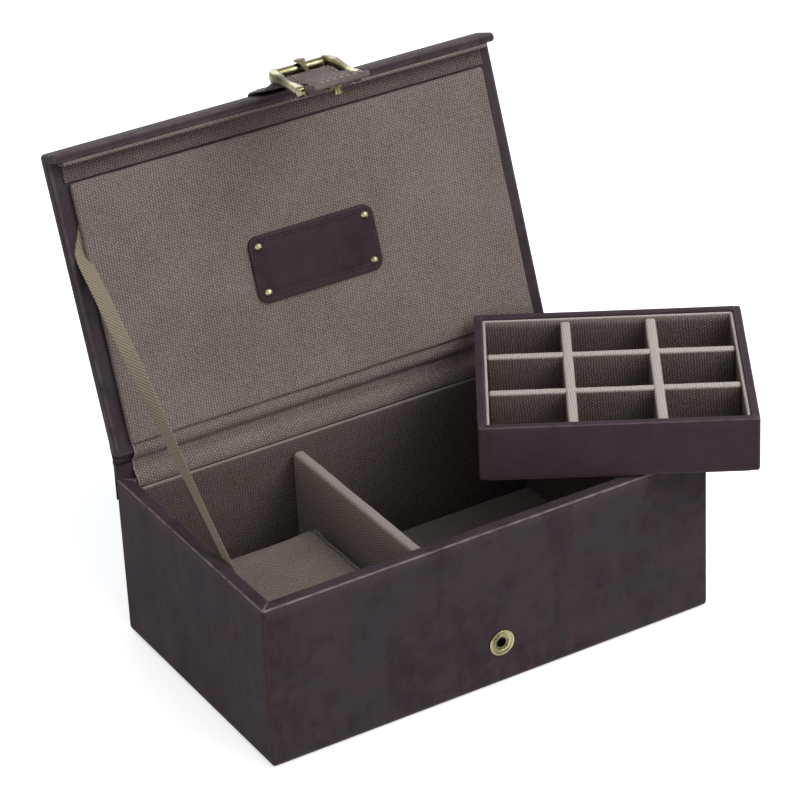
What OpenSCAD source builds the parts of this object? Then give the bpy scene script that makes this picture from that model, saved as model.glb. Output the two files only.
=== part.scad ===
// Leather covered cufflink and watch box, lid open, with its loose tray
// lying askew on the rim. Millimetres. The origin is the middle of the
// underside of the case, X runs along the front, Y to the back, Z up.

/* [Case] */
// Outer width of the case
case_w = 180; // [170:1:230]
// Outer depth of the case
case_d = 107; // [104:1:125]
// Height of the case, from its underside to the leather rim
case_h = 63.5; // [60:0.5:80]
// Thickness of the wall boards
wall_board_t = 3.6; // [3:0.1:5]
// Thickness of the base board
base_board_t = 3; // [2:0.1:4]
// Thickness of the leather covering
leather_t = 0.8; // [0.6:0.05:1]
// Radius of the upright outer corners
corner_r = 1.8; // [1:0.1:3]
// Radius of the leather over the top of the walls
rim_r = 1.4; // [0.8:0.1:1.8]
// Width of leather turned under the base and down inside the rim
turn_in = 12; // [8:1:16]
// Thickness of the sheet under the base
base_sheet_t = 0.8; // [0.5:0.1:1.5]

/* [Lining] */
// Thickness of the fabric covered lining cards
lining_t = 1.6; // [1.2:0.1:2.4]
// How far the lining stops below the rim
lining_drop = 3.4; // [2:0.1:5]
// Thickness of the divider between the compartments
divider_t = 4.6; // [3:0.1:6]
// Middle of the divider, from the middle of the case
divider_x = -20.4; // [-24:0.1:-18]
// How far the top of the divider lies below the rim
divider_drop = 8.6; // [7:0.1:14]
// Thickness of the boards that carry the tray
ledge_t = 6.2; // [4:0.1:7]

/* [Lid] */
// Thickness of the lid board
lid_board_t = 4.4; // [3.5:0.1:5.5]
// Opening angle of the lid
lid_open = 109.3; // [95:0.1:112]
// Depth of the front lip below the top of the lid
lip_depth = 12; // [10:0.5:16]
// Thickness of the lip board
lip_board_t = 1.8; // [1.4:0.1:2.4]
// Thickness of the padded lining of the lid
lid_lining_t = 2.2; // [1.4:0.1:2.6]
// Margin of the lid lining at the front
lid_lining_front = 6.6; // [6:0.1:9]
// Radius of the outer edges of the lid
lid_r = 1.5; // [0.8:0.1:2]
// Thickness of the spine strip at the back
spine_t = 2.2; // [1.6:0.1:2.6]
// Radius of the leather bead that the lid turns about
bead_r = 0.9; // [0.6:0.05:1]

/* [Plaque] */
// Width of the leather plaque in the lid
plaque_w = 51.5; // [40:0.5:80]
// Height of the plaque
plaque_h = 24.5; // [20:0.5:40]
// Thickness of the plaque
plaque_t = 1.4; // [0.8:0.1:2]
// Distance of the rivets from the edge of the plaque
rivet_inset = 3.8; // [3:0.1:5]
// Radius of the rivet heads
rivet_r = 1.7; // [1:0.1:2.2]

/* [Strap and buckle] */
// Middle of the strap and of the press stud, from the middle of the case
strap_x = 2; // [-10:0.1:10]
// Width of the strap
strap_w = 18; // [12:0.5:18]
// Thickness of the strap
strap_t = 1.4; // [1:0.1:1.8]
// Length of the strap that is sewn on top of the lid
strap_root = 34; // [20:1:50]
// Angle between the strap at rest and its fastened place
strap_rest = 6; // [4:0.5:14]
// Width of the folded end of the strap
chape_w = 22.4; // [19:0.1:26]
// Thickness of one layer of the folded end
chape_t = 1.3; // [1:0.1:1.5]
// Outer width of the buckle
buckle_w = 27; // [26:0.5:34]
// Outer length of the buckle
buckle_l = 25; // [23:0.5:28]
// Thickness of the buckle frame
buckle_t = 3.8; // [3:0.1:4.5]
// Radius of the buckle's bars
bar_r = 1.2; // [1:0.05:1.3]
// Height of the press stud above the table
snap_z = 17.4; // [15:0.1:19]
// Outer radius of the press stud's ring
snap_r = 5; // [4:0.1:6]

/* [Tray] */
// Outer width of the tray
tray_w = 98; // [88:0.5:98]
// Outer depth of the tray
tray_d = 85; // [76:0.5:88]
// Height of the tray
tray_h = 22; // [18:0.5:24]
// Thickness of the tray's boards
tray_board_t = 1.6; // [1.2:0.1:2.4]
// Thickness of the leather on the tray
tray_leather_t = 0.7; // [0.5:0.05:0.9]
// Thickness of the tray's lining cards
tray_lining_t = 1.2; // [0.8:0.1:1.8]
// Thickness of the tray's dividers
tray_divider_t = 4; // [2.5:0.1:5]
// How far the tray's dividers stop below its rim
tray_divider_drop = 1.6; // [1:0.1:4]
// Turn of the tray as it lies on the rim
tray_turn = -31.2; // [-35:0.1:-25]
// Middle of the tray along the front of the case
tray_x = 77.2; // [76:0.1:82]
// Middle of the tray, from front to back
tray_y = -13.5; // [-18:0.1:-13]

/* [Watch cushion] */
// Width of the cushion
cushion_w = 57; // [48:0.5:58]
// Depth of the cushion
cushion_d = 72; // [60:0.5:80]
// Height of the cushion at its seam
cushion_h = 28; // [20:0.5:30]
// Rise of its crown above the seam
cushion_crown = 1.6; // [1:0.1:4]
// Radius of its upright corners
cushion_r = 4.5; // [4:0.5:12]

/* [Ribbon] */
// Width of the ribbon that holds the lid
ribbon_w = 5.5; // [4:0.1:8]
// Thickness of the ribbon
ribbon_t = 0.6; // [0.5:0.05:0.8]

/* [Hidden] */

// Colours of the covering, the lining and the metal
leather_c = [0.24, 0.19, 0.20];
lining_c = [0.43, 0.39, 0.35];
board_c = [0.62, 0.52, 0.40];
brass_c = [0.55, 0.48, 0.30];
ribbon_c = [0.62, 0.56, 0.42];

// Clearances that the fits share
fit = 0.2;
glue = 0.02;
play = 0.5;

wall_t = wall_board_t + 2 * leather_t;
boards_z = base_sheet_t + leather_t;
lining_z = boards_z + base_board_t;
floor_z = lining_z + lining_t;
inner_w = case_w - 2 * wall_t;
inner_d = case_d - 2 * wall_t;
clear_w = inner_w - 2 * lining_t;
clear_d = inner_d - 2 * lining_t;
board_w = case_w - 2 * leather_t;
board_d = case_d - 2 * leather_t;
lining_top = case_h - lining_drop;

// Heights of the closed lid and its turning axis
lid_gap = 0.9;
lid_t = lid_board_t + 2 * leather_t;
lid_z0 = case_h + lid_gap;
lid_z1 = lid_z0 + lid_t;
hinge_y = case_d / 2;
hinge_z = lid_z1 - bead_r;
lid_back = hinge_y - bead_r - 1.3;
spine_out = 0.3;
spine_lap = 9;
spine_top = hinge_z - bead_r / 2;

// Front lip, from its fabric side outwards
lip_fabric_t = 1.5;
lip_clear = 0.3;
lip_t = lip_board_t + 2 * leather_t;
lip_in = -case_d / 2 - lip_clear - lip_fabric_t;
lip_out = lip_in - lip_t;
lip_z = lid_z1 - lip_depth;
margin_fabric_t = 0.8;

// Lid lining, which drops into the mouth of the case
lid_lining_w = inner_w - 2 * play;
lid_lining_y0 = -case_d / 2 + lid_lining_front;
lid_lining_y1 = inner_d / 2 - 2 * play + 0.3;
lid_lining_z = lid_z0 - lid_lining_t;
plaque_y = 1.3;

// Strap: it bends round the front edge of the lid
bend_in = lid_r + fit;
bend_out = bend_in + strap_t;
swing_y = lip_out + lid_r;
swing_z = lid_z1 - lid_r;
strap_in = swing_y - bend_in;

// Buckle bars, in the fastened place of the strap
heel_z = snap_z + 5.9;
bar_gap = buckle_l - 5;
buckle_tilt = 22;
heel_y = -case_d / 2 - 3.1;
far_y = heel_y - bar_gap * sin(buckle_tilt);
far_z = heel_z + bar_gap * cos(buckle_tilt);
roller_r = bar_r + 0.6;
fold_r = bar_r + 0.1 + chape_t;
chape_end = snap_z - 5.6;
lug_r = 2.2;
lug_in = buckle_w / 2 - 2 * lug_r;
chape_in = heel_y + chape_t;
chape_out = heel_y - chape_t;
strap_end = chape_end + 0.8;

// Press stud: the eyelet in the front wall takes the stud on the strap
ring_t = 1;
eyelet_in_r = 1.9;
eyelet_out_r = 2.6;
stud_r = 1.6;
flange_t = 0.6;

// Tray
tray_wall_t = tray_board_t + 2 * tray_leather_t;
tray_boards_z = base_sheet_t + tray_leather_t;
tray_floor_z = tray_boards_z + tray_board_t + tray_lining_t;
tray_inner_w = tray_w - 2 * tray_wall_t;
tray_inner_d = tray_d - 2 * tray_wall_t;
tray_clear_w = tray_inner_w - 2 * tray_lining_t;
tray_clear_d = tray_inner_d - 2 * tray_lining_t;
cell_w = (tray_clear_w - 2 * tray_divider_t) / 3;
cell_d = (tray_clear_d - 2 * tray_divider_t) / 3;
tray_divider_top = tray_h - tray_divider_drop;
tray_rest = 0.1;
ledge_top = lid_lining_z - 0.7 - tray_h;

// Cushion
cushion_x = -case_w / 2 + wall_t + lining_t + 1.2 + cushion_w / 2;
cushion_y = -clear_d / 2 + 0.8 + cushion_d / 2;

// Facets of true circles and of rounded forms
round_fn = 48;
cushion_side = 10;

// Ribbon ends: on the lid, and behind the left lining
ribbon_lid_y = -22;
ribbon_lid_x = -case_w / 2 + 2.7;
ribbon_case_x = -inner_w / 2 + 0.9;
ribbon_case_y = -19.2;
ribbon_rings = 16;

// Rounded rectangle whose corners are true arcs
module round_rect(w, d, r) {
    square([w - 2 * r, d], center = true);
    square([w, d - 2 * r], center = true);
    for (sx = [-1, 1], sy = [-1, 1])
        translate([sx * (w / 2 - r), sy * (d / 2 - r)]) circle(r, $fn = round_fn);
}

// Box between two corners
module span(a, b) {
    translate(a) cube(b - a);
}

// Sweep of an outline round a rectangle, mitred at the corners. The
// outline's x runs inwards from the outer face and its y upwards.
module mitred_frame(w, d, depth, z0, z1) {
    for (turn = [0, 90, 180, 270]) {
        len = turn % 180 == 0 ? w : d;
        dep = turn % 180 == 0 ? d : w;
        rotate(turn) intersection() {
            translate([-len / 2, -dep / 2, 0]) rotate([90, 0, 90]) linear_extrude(len) children();
            translate([0, 0, z0]) linear_extrude(z1 - z0)
                polygon([[-len / 2, -dep / 2], [len / 2, -dep / 2],
                    [len / 2 - depth, -dep / 2 + depth], [-len / 2 + depth, -dep / 2 + depth]]);
        }
    }
}

// Section of a leather covered wall: rounded over the top, turned in inside
module skin_section(skin, board, r, z_under, z_board, h, tuck) {
    t = board + 2 * skin;
    difference() {
        union() {
            translate([0, z_under]) square([t, h - r - z_under]);
            translate([r, h - r]) square([t - 2 * r, r]);
            for (x = [r, t - r]) translate([x, h - r]) circle(r, $fn = round_fn);
            translate([0, z_under]) square([tuck, z_board - z_under]);
        }
        translate([skin, z_board]) square([board, h - skin - z_board]);
        translate([skin + board / 2, z_board]) square([board, h - tuck - z_board]);
    }
}

// Places what belongs to the lid: drawn closed, shown open
module on_lid() {
    translate([0, hinge_y, hinge_z]) rotate([-lid_open, 0, 0]) translate([0, -hinge_y, -hinge_z])
        children();
}

// Places what belongs to the strap: drawn fastened, shown standing off
module on_strap() {
    on_lid() translate([0, swing_y, swing_z]) rotate([-strap_rest, 0, 0])
        translate([0, -swing_y, -swing_z]) children();
}

// Places what belongs to the tray as it lies askew on the rim
module on_tray() {
    translate([tray_x, tray_y, case_h + tray_rest]) rotate(tray_turn) children();
}

// Case

module base_sheet() {
    color(board_c) linear_extrude(base_sheet_t) round_rect(case_w - 5, case_d - 5, 2);
}

module base_board() {
    w = board_w - 2 * wall_board_t - 2 * glue;
    d = board_d - 2 * wall_board_t - 2 * glue;
    color(board_c) span([-w / 2, -d / 2, boards_z], [w / 2, d / 2, lining_z]);
}

module long_board() {
    span([-board_w / 2, 0, boards_z], [board_w / 2, wall_board_t, case_h - leather_t]);
}

module short_board() {
    d = board_d - 2 * wall_board_t;
    span([0, -d / 2, boards_z], [wall_board_t, d / 2, case_h - leather_t]);
}

module front_board() {
    color(board_c) difference() {
        translate([0, -board_d / 2, 0]) long_board();
        translate([strap_x, -case_d / 2 - 1, snap_z]) rotate([-90, 0, 0])
            cylinder(r = eyelet_out_r + 0.05, h = wall_t + 2, $fn = round_fn);
    }
}

module back_board() {
    color(board_c) translate([0, board_d / 2 - wall_board_t, 0]) long_board();
}

module left_board() {
    color(board_c) translate([-board_w / 2, 0, 0]) short_board();
}

module right_board() {
    color(board_c) translate([board_w / 2 - wall_board_t, 0, 0]) short_board();
}

module case_leather() {
    color(leather_c) difference() {
        intersection() {
            mitred_frame(case_w, case_d, turn_in + 1, 0, case_h + 1)
                skin_section(leather_t, wall_board_t, rim_r, base_sheet_t, boards_z, case_h, turn_in);
            linear_extrude(case_h + 1) round_rect(case_w, case_d, corner_r);
        }
        translate([strap_x, -case_d / 2 - 1, snap_z]) rotate([-90, 0, 0])
            cylinder(r = eyelet_out_r + 0.05, h = wall_t + 2, $fn = round_fn);
    }
}

module spine() {
    y1 = case_d / 2 + spine_out;
    color(leather_c) {
        span([-case_w / 2, y1 - spine_t, case_h], [case_w / 2, y1, spine_top]);
        span([-case_w / 2, case_d / 2 + glue, case_h - spine_lap], [case_w / 2, y1, case_h + 1]);
        translate([-case_w / 2, hinge_y, hinge_z]) rotate([0, 90, 0])
            cylinder(r = bead_r, h = case_w, $fn = round_fn);
    }
}

// Long lining cards run the full inner width, short ones fit between them
module long_lining() {
    w = inner_w - 2 * glue;
    span([-w / 2, 0, lining_z], [w / 2, lining_t - glue, lining_top]);
}

module short_lining() {
    d = clear_d - 2 * glue;
    span([0, -d / 2, lining_z], [lining_t - glue, d / 2, lining_top]);
}

module front_lining() {
    color(lining_c) difference() {
        translate([0, -inner_d / 2 + glue, 0]) long_lining();
        translate([strap_x, -inner_d / 2 - 0.1, snap_z]) rotate([-90, 0, 0])
            cylinder(r = snap_r - 0.5, h = flange_t + fit, $fn = round_fn);
    }
}

module back_lining() {
    color(lining_c) translate([0, inner_d / 2 - lining_t, 0]) long_lining();
}

module left_lining() {
    color(lining_c) translate([-inner_w / 2 + glue, 0, 0]) short_lining();
}

module right_lining() {
    color(lining_c) translate([inner_w / 2 - lining_t, 0, 0]) short_lining();
}

module floor_lining() {
    w = clear_w - 2 * fit;
    d = clear_d - 2 * fit;
    color(lining_c) span([-w / 2, -d / 2, lining_z], [w / 2, d / 2, floor_z]);
}

// Upright board between two heights, with a rounded upper edge
module upright_board(t, d, z0, z1) {
    rotate([90, 0, 0]) translate([0, 0, -d / 2]) linear_extrude(d) {
        translate([-t / 2, z0]) square([t, z1 - z0 - 1]);
        for (sx = [-1, 1]) translate([sx * (t / 2 - 1), z1 - 1]) circle(1, $fn = round_fn);
        translate([-t / 2 + 1, z1 - 1]) square([t - 2, 1]);
    }
}

module divider() {
    color(lining_c) translate([divider_x, 0, 0])
        upright_board(divider_t, clear_d - 2 * fit, floor_z, case_h - divider_drop);
}

module ledge_left() {
    color(lining_c) translate([divider_x + divider_t / 2 + ledge_t / 2 + glue, 0, 0])
        upright_board(ledge_t, clear_d - 2 * fit, floor_z, ledge_top);
}

module ledge_right() {
    color(lining_c) translate([clear_w / 2 - ledge_t / 2 - glue, 0, 0])
        upright_board(ledge_t, clear_d - 2 * fit, floor_z, ledge_top);
}

// Barrel through the front wall, closed over behind the lining
module snap_eyelet() {
    color(brass_c) translate([strap_x, -case_d / 2 - 0.3, snap_z]) rotate([-90, 0, 0]) difference() {
        union() {
            cylinder(r = eyelet_out_r, h = wall_t + 0.3 + flange_t, $fn = round_fn);
            translate([0, 0, wall_t + 0.3 + glue]) cylinder(r = snap_r - 0.8, h = flange_t, $fn = round_fn);
        }
        translate([0, 0, -1]) cylinder(r = eyelet_in_r, h = wall_t + 1, $fn = round_fn);
    }
}

// Ring round the mouth of the eyelet, with a raised bead at its edge
module snap_ring() {
    color(brass_c) translate([strap_x, -case_d / 2 - glue, snap_z]) rotate([90, 0, 0]) rotate_extrude($fn = 96) {
        translate([eyelet_out_r + glue, 0]) square([snap_r - 0.5 - eyelet_out_r, 0.55]);
        translate([snap_r - 0.9, 0]) square([0.9, ring_t - 0.45]);
        translate([snap_r - 0.45, ring_t - 0.45]) circle(0.45, $fn = 24);
        translate([eyelet_out_r + 0.45, 0.55]) circle(0.4, $fn = 24);
    }
}

// Points of a strip that follows a path, thickness t to its left side
function side_of(p, i) = let (a = p[max(i - 1, 0)], b = p[min(i + 1, len(p) - 1)], v = b - a)
    [-v[1], v[0]] / norm(v);
function strip(p, t) = concat(p, [for (i = [len(p) - 1:-1:0]) p[i] + t * side_of(p, i)]);

// Draws a strip in the side view and gives it a width along X
module cross_strip(path, t, w) {
    translate([-w / 2, 0, 0]) rotate([90, 0, 90]) linear_extrude(w) polygon(strip(path, t));
}

// A point of the open lid, from its distance along and below the axis
function open_at(along, below) = [hinge_y - along * cos(lid_open) - below * sin(lid_open),
    hinge_z + along * sin(lid_open) - below * cos(lid_open)];

// Outer leather of the fold: up the spine and on to the back of the lid
module hinge_leather() {
    out = bead_r + 0.15;
    path = [open_at(7, -out), open_at(0, -out), [hinge_y + out, spine_top - 1.4]];
    color(leather_c) cross_strip(path, 0.5, case_w - 4);
}

// Fabric strip of the fold: from behind the back lining over the rim, up
// the spine and across to the lining of the lid
module hinge_lining() {
    wall_y = inner_d / 2 - 0.1;
    spine_y = hinge_y + spine_out - spine_t - 0.1;
    lid_face = hinge_z - lid_z0;
    path = [[wall_y, lining_top + 0.2], [wall_y, case_h - 0.3], [wall_y + 0.4, case_h + 0.9],
        [spine_y - 0.5, case_h + 1.2], [spine_y, case_h + 1.8], [spine_y, hinge_z - 1.2],
        open_at(1.6, lid_face - 0.6), open_at(2.6, lid_face + 0.1),
        open_at(hinge_y - lid_lining_y1 - 0.15, lid_face + 0.1)];
    color(lining_c) cross_strip(path, 0.7, lid_lining_w - 2);
}

// Ribbon stay, a flat band that turns a quarter between lid and case
function ribbon_top() = let (p = open_at(hinge_y - ribbon_lid_y, hinge_z - lid_z0 + 0.9))
    [ribbon_lid_x, p[0], p[1]];
function ribbon_foot() = [ribbon_case_x, ribbon_case_y, lining_top + 2.4];
function mix(a, b, t) = a * (1 - t) + b * t;
function unit(v) = v / norm(v);
function ribbon_ring(t) = let (a = ribbon_top(), b = ribbon_foot(), dir = unit(b - a),
        side0 = unit(cross(dir, [1, 0, 0])), side1 = unit(cross(dir, side0)),
        turn = 80 * (1 - t), s = side0 * cos(turn) + side1 * sin(turn), n = cross(dir, s),
        c = mix(a, b, t))
    [for (q = [[-1, -1], [1, -1], [1, 1], [-1, 1]]) c + s * q[0] * ribbon_w / 2 + n * q[1] * ribbon_t / 2];

// Closed tube through rings of k points each
module rings_solid(rings, k) {
    n = len(rings);
    points = [for (r = rings) each r];
    sides = [for (i = [0:n - 2], j = [0:k - 1]) each
        [[i * k + j, i * k + (j + 1) % k, (i + 1) * k + j],
            [i * k + (j + 1) % k, (i + 1) * k + (j + 1) % k, (i + 1) * k + j]]];
    first = [for (j = [k - 1:-1:0]) j];
    last = [for (j = [0:k - 1]) (n - 1) * k + j];
    polyhedron(points, concat([first], sides, [last]), convexity = 4);
}

module ribbon() {
    color(ribbon_c) rings_solid([for (i = [0:ribbon_rings]) ribbon_ring(i / ribbon_rings)], 4);
}

// Lid

module lid_board() {
    color(board_c) on_lid() span([-board_w / 2, lip_in + glue, lid_z0 + leather_t],
        [board_w / 2, lid_back - leather_t, lid_z1 - leather_t]);
}

module lip_board() {
    color(board_c) on_lid() span([-board_w / 2, lip_out + leather_t, lip_z + leather_t],
        [board_w / 2, lip_in - leather_t, lid_z1 - leather_t]);
}

// Side outline of lid and lip, rounded at every outer edge
module lid_outline() {
    r = lid_r;
    for (p = [[lip_out + r, lid_z1 - r], [lid_back - r, lid_z1 - r], [lid_back - r, lid_z0 + r],
        [lip_out + r, lip_z + r], [lip_in - r, lip_z + r]])
        translate(p) circle(r, $fn = round_fn);
    translate([lip_out + r, lid_z0]) square([lid_back - lip_out - 2 * r, lid_t]);
    translate([lip_out, lip_z + r]) square([lip_t, lid_z1 - lip_z - 2 * r]);
    translate([lip_out + r, lip_z]) square([lip_t - 2 * r, lid_z1 - lip_z]);
    translate([lip_out, lid_z0 + r]) square([lid_back - lip_out, lid_t - 2 * r]);
}

module lid_leather() {
    mid_y = (lip_out + lid_back) / 2;
    mid_z = (lip_z + lid_z1) / 2;
    color(leather_c) on_lid() difference() {
        intersection() {
            translate([-case_w / 2, 0, 0]) rotate([90, 0, 90]) linear_extrude(case_w) lid_outline();
            translate([0, lid_back + 1, mid_z]) rotate([90, 0, 0])
                linear_extrude(lid_back - lip_out + 2) round_rect(case_w, lid_z1 - lip_z, lid_r);
        }
        span([-board_w / 2, lip_in, lid_z0 + leather_t],
            [board_w / 2, lid_back - leather_t, lid_z1 - leather_t]);
        span([-board_w / 2, lip_out + leather_t, lip_z + leather_t],
            [board_w / 2, lip_in - leather_t, lid_z1 - leather_t]);
        translate([0, mid_y, lid_z0 - 1]) linear_extrude(leather_t + 2)
            square([case_w - 2 * turn_in, lid_back - lip_out - 3 * turn_in], center = true);
    }
}

module lid_lining() {
    d = lid_lining_y1 - lid_lining_y0;
    color(lining_c) on_lid() translate([0, (lid_lining_y0 + lid_lining_y1) / 2, lid_lining_z])
        linear_extrude(lid_lining_t - glue) round_rect(lid_lining_w, d, 2.5);
}

// Fabric on the inner side of the lip and on the front margin of the lid
module lip_lining() {
    color(lining_c) on_lid() translate([-case_w / 2 + 3, 0, 0]) rotate([90, 0, 90])
        linear_extrude(case_w - 6) {
            translate([lip_in + glue, lip_z + 0.6]) square([lip_fabric_t, lid_z0 - lip_z - 0.6 - glue]);
            translate([lip_in + glue, lid_z0 - margin_fabric_t])
                square([lid_lining_y0 - lip_in - 2 * glue, margin_fabric_t - glue]);
        }
}

module plaque() {
    color(leather_c) on_lid() translate([1.4, plaque_y, lid_lining_z - plaque_t]) difference() {
        linear_extrude(plaque_t - glue) round_rect(plaque_w, plaque_h, 4);
        for (sx = [-1, 1], sy = [-1, 1])
            translate([sx * (plaque_w / 2 - rivet_inset), sy * (plaque_h / 2 - rivet_inset), -1])
                cylinder(r = 0.65, h = plaque_t + 2, $fn = round_fn);
    }
}

// Four domed rivets with their shanks
module plaque_rivets() {
    color(brass_c) on_lid() translate([1.4, plaque_y, lid_lining_z - plaque_t])
        for (sx = [-1, 1], sy = [-1, 1])
            translate([sx * (plaque_w / 2 - rivet_inset), sy * (plaque_h / 2 - rivet_inset), 0])
                rotate_extrude($fn = round_fn) {
                    translate([0, -0.2]) square([0.6, plaque_t]);
                    intersection() {
                        translate([0, rivet_r - 1.1 - glue]) circle(rivet_r, $fn = 64);
                        translate([0, -1.1 - glue]) square([rivet_r, 1.1]);
                    }
                }
}

// Strap

// Part of the strap that is sewn on top of the lid, with a rounded end
module strap_anchor() {
    r = strap_w / 2;
    color(leather_c) on_lid() translate([strap_x, 0, lid_z1 + fit]) linear_extrude(strap_t) {
        translate([-r, swing_y]) square([strap_w, strap_root - r]);
        translate([0, swing_y + strap_root - r]) circle(r, $fn = 96);
    }
}

// Bend of the strap over the front edge of the lid
module strap_bend() {
    turn = 90 - strap_rest;
    color(leather_c) on_lid() translate([strap_x + strap_w / 2, swing_y, swing_z]) rotate([0, -90, 0])
        linear_extrude(strap_w) intersection() {
            difference() {
                circle(bend_out, $fn = round_fn);
                circle(bend_in, $fn = round_fn);
            }
            polygon([[0, 0], [9, 0], [9, -9], [9 * cos(turn), -9 * sin(turn)]]);
        }
}

// Inner face of the fastened strap: down the lip, under the far bar of
// the buckle, over its heel bar and down to its end
function ease(t) = (1 - cos(180 * t)) / 2;
function run_of(a, b, n) = [for (i = [0:n - 1]) [a[0] + (b[0] - a[0]) * ease(i / n), mix(a[1], b[1], i / n)]];
strap_under = far_y + roller_r + 0.15 + strap_t;
strap_over = heel_y - fold_r - 0.1;
strap_tail = chape_out - 0.1;
strap_path = concat(
    [[strap_in, swing_z]],
    run_of([strap_in, lip_z - 0.6], [strap_under, far_z + 3], 7),
    run_of([strap_under, far_z + 3], [strap_under, far_z - 5], 1),
    run_of([strap_under, far_z - 5], [strap_over, heel_z + 4], 8),
    run_of([strap_over, heel_z + 4], [strap_over, heel_z], 1),
    run_of([strap_over, heel_z], [strap_tail, heel_z - 5], 4),
    [[strap_tail, heel_z - 5], [strap_tail, strap_end]]);

module strap() {
    slot_z = heel_z + 4.9;
    color(leather_c) on_strap() translate([strap_x, 0, 0]) difference() {
        intersection() {
            cross_strip([for (i = [len(strap_path) - 1:-1:0]) strap_path[i]], strap_t, strap_w);
            translate([0, lip_out + 8, 0]) rotate([90, 0, 0]) linear_extrude(24) {
                translate([-strap_w / 2, strap_end + 3]) square([strap_w, swing_z]);
                translate([-strap_w / 2 + 3, strap_end]) square([strap_w - 6, 4]);
                for (sx = [-1, 1])
                    translate([sx * (strap_w / 2 - 3), strap_end + 3]) circle(3, $fn = round_fn);
            }
        }
        span([-1.2, lip_out - 9, slot_z - 4.1], [1.2, lip_out + 8, slot_z + 4.1]);
    }
}

// Folded leather that holds the heel bar and carries the press stud
module chape() {
    color(leather_c) on_strap() translate([strap_x, 0, 0]) difference() {
        intersection() {
            translate([-chape_w / 2, 0, 0]) rotate([90, 0, 90]) linear_extrude(chape_w) {
                translate([heel_y, heel_z]) circle(fold_r, $fn = round_fn);
                translate([chape_out, chape_end]) square([2 * chape_t, heel_z - chape_end]);
            }
            translate([0, heel_y + 6, 0]) rotate([90, 0, 0]) linear_extrude(12) {
                translate([-chape_w / 2, chape_end + 4]) square([chape_w, heel_z - 7 - chape_end]);
                translate([-lug_in + fit, chape_end + 4]) square([2 * lug_in - 2 * fit, heel_z]);
                translate([-chape_w / 2 + 4, chape_end]) square([chape_w - 8, 5]);
                for (sx = [-1, 1])
                    translate([sx * (chape_w / 2 - 4), chape_end + 4]) circle(4, $fn = round_fn);
            }
        }
        translate([-chape_w, heel_y, heel_z]) rotate([0, 90, 0])
            cylinder(r = bar_r + 0.08, h = 2 * chape_w, $fn = round_fn);
        span([-1.6, heel_y - 4, heel_z - 3], [1.6, heel_y + 4, heel_z + 4]);
        translate([0, heel_y - 5, snap_z]) rotate([-90, 0, 0])
            cylinder(r = 0.9, h = 10, $fn = round_fn);
    }
}

// Places the buckle: its heel bar on the X axis, its far bar along +Y
module on_buckle() {
    on_strap() translate([strap_x, heel_y, heel_z]) rotate([90 + buckle_tilt, 0, 0]) children();
}

// Waisted frame with flared corners and two round bars. Its sides are
// arched on top and drawn in at the middle.
module buckle_frame() {
    side_x = buckle_w / 2 - lug_r;
    waist_r = 26;
    arch_r = 46;
    color(brass_c) on_buckle() {
        difference() {
            intersection() {
                for (sx = [-1, 1]) {
                    for (y = [0, bar_gap]) translate([sx * side_x, y, -buckle_t / 2])
                        cylinder(r = lug_r, h = buckle_t, $fn = round_fn);
                    translate([sx * side_x - lug_r, 0, -buckle_t / 2])
                        cube([2 * lug_r, bar_gap, buckle_t]);
                }
                translate([-buckle_w, bar_gap / 2, 0]) rotate([0, 90, 0])
                    linear_extrude(2 * buckle_w) intersection() {
                        round_rect(buckle_t, bar_gap + 2 * lug_r, 1.3);
                        translate([arch_r - buckle_t / 2, 0]) circle(arch_r, $fn = 160);
                    }
            }
            for (sx = [-1, 1]) translate([sx * (buckle_w / 2 - 1.2 + waist_r), bar_gap / 2, -buckle_t])
                cylinder(r = waist_r, h = 2 * buckle_t, $fn = 160);
            translate([0, bar_gap / 2, -buckle_t])
                linear_extrude(2 * buckle_t) round_rect(2 * lug_in + 3, bar_gap - 4.4, 2);
        }
        for (y = [0, bar_gap]) translate([-side_x, y, 0]) rotate([0, 90, 0])
            cylinder(r = bar_r, h = 2 * side_x, $fn = round_fn);
    }
}

// Loose sleeve on the far bar
module buckle_roller() {
    half = lug_in - fit;
    color(brass_c) on_buckle() translate([-half, bar_gap, 0]) rotate([0, 90, 0]) difference() {
        cylinder(r = roller_r, h = 2 * half, $fn = round_fn);
        translate([0, 0, -1]) cylinder(r = bar_r + 0.08, h = 2 * half + 2, $fn = round_fn);
    }
}

// Prong: an eye round the heel bar and a rod whose tip lies on the roller
module buckle_prong() {
    rod_r = 0.9;
    rise = roller_r + rod_r + 0.05;
    foot = 1.35;
    up = atan2(rise - foot, bar_gap - 1.6);
    color(brass_c) on_buckle() {
        rotate([0, 90, 0]) translate([0, 0, -rod_r]) difference() {
            cylinder(r = bar_r + 1.1, h = 2 * rod_r, $fn = round_fn);
            translate([0, 0, -1]) cylinder(r = bar_r + 0.08, h = 2 * rod_r + 2, $fn = round_fn);
        }
        translate([0, 1.6, foot]) rotate([up - 90, 0, 0]) rotate_extrude($fn = round_fn) {
            square([rod_r - 0.05, bar_gap]);
            intersection() {
                translate([0, bar_gap]) circle(rod_r - 0.05, $fn = 32);
                translate([0, bar_gap - 0.5]) square([rod_r, 2]);
            }
        }
    }
}

module snap_stud() {
    color(brass_c) on_strap() translate([strap_x, chape_in + glue, snap_z]) rotate([-90, 0, 0]) {
        cylinder(r = snap_r - 1.6, h = flange_t, $fn = round_fn);
        cylinder(r = stud_r - 0.2, h = 3, $fn = round_fn);
        translate([0, 0, 2.2]) cylinder(r = stud_r, h = 0.8, $fn = round_fn);
        translate([0, 0, 0.1 - 2 * chape_t]) cylinder(r = 0.8, h = 2 * chape_t, $fn = round_fn);
    }
}

// Tray

module tray_base_sheet() {
    color(lining_c) on_tray() linear_extrude(base_sheet_t) round_rect(tray_w - 4, tray_d - 4, 2);
}

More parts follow.
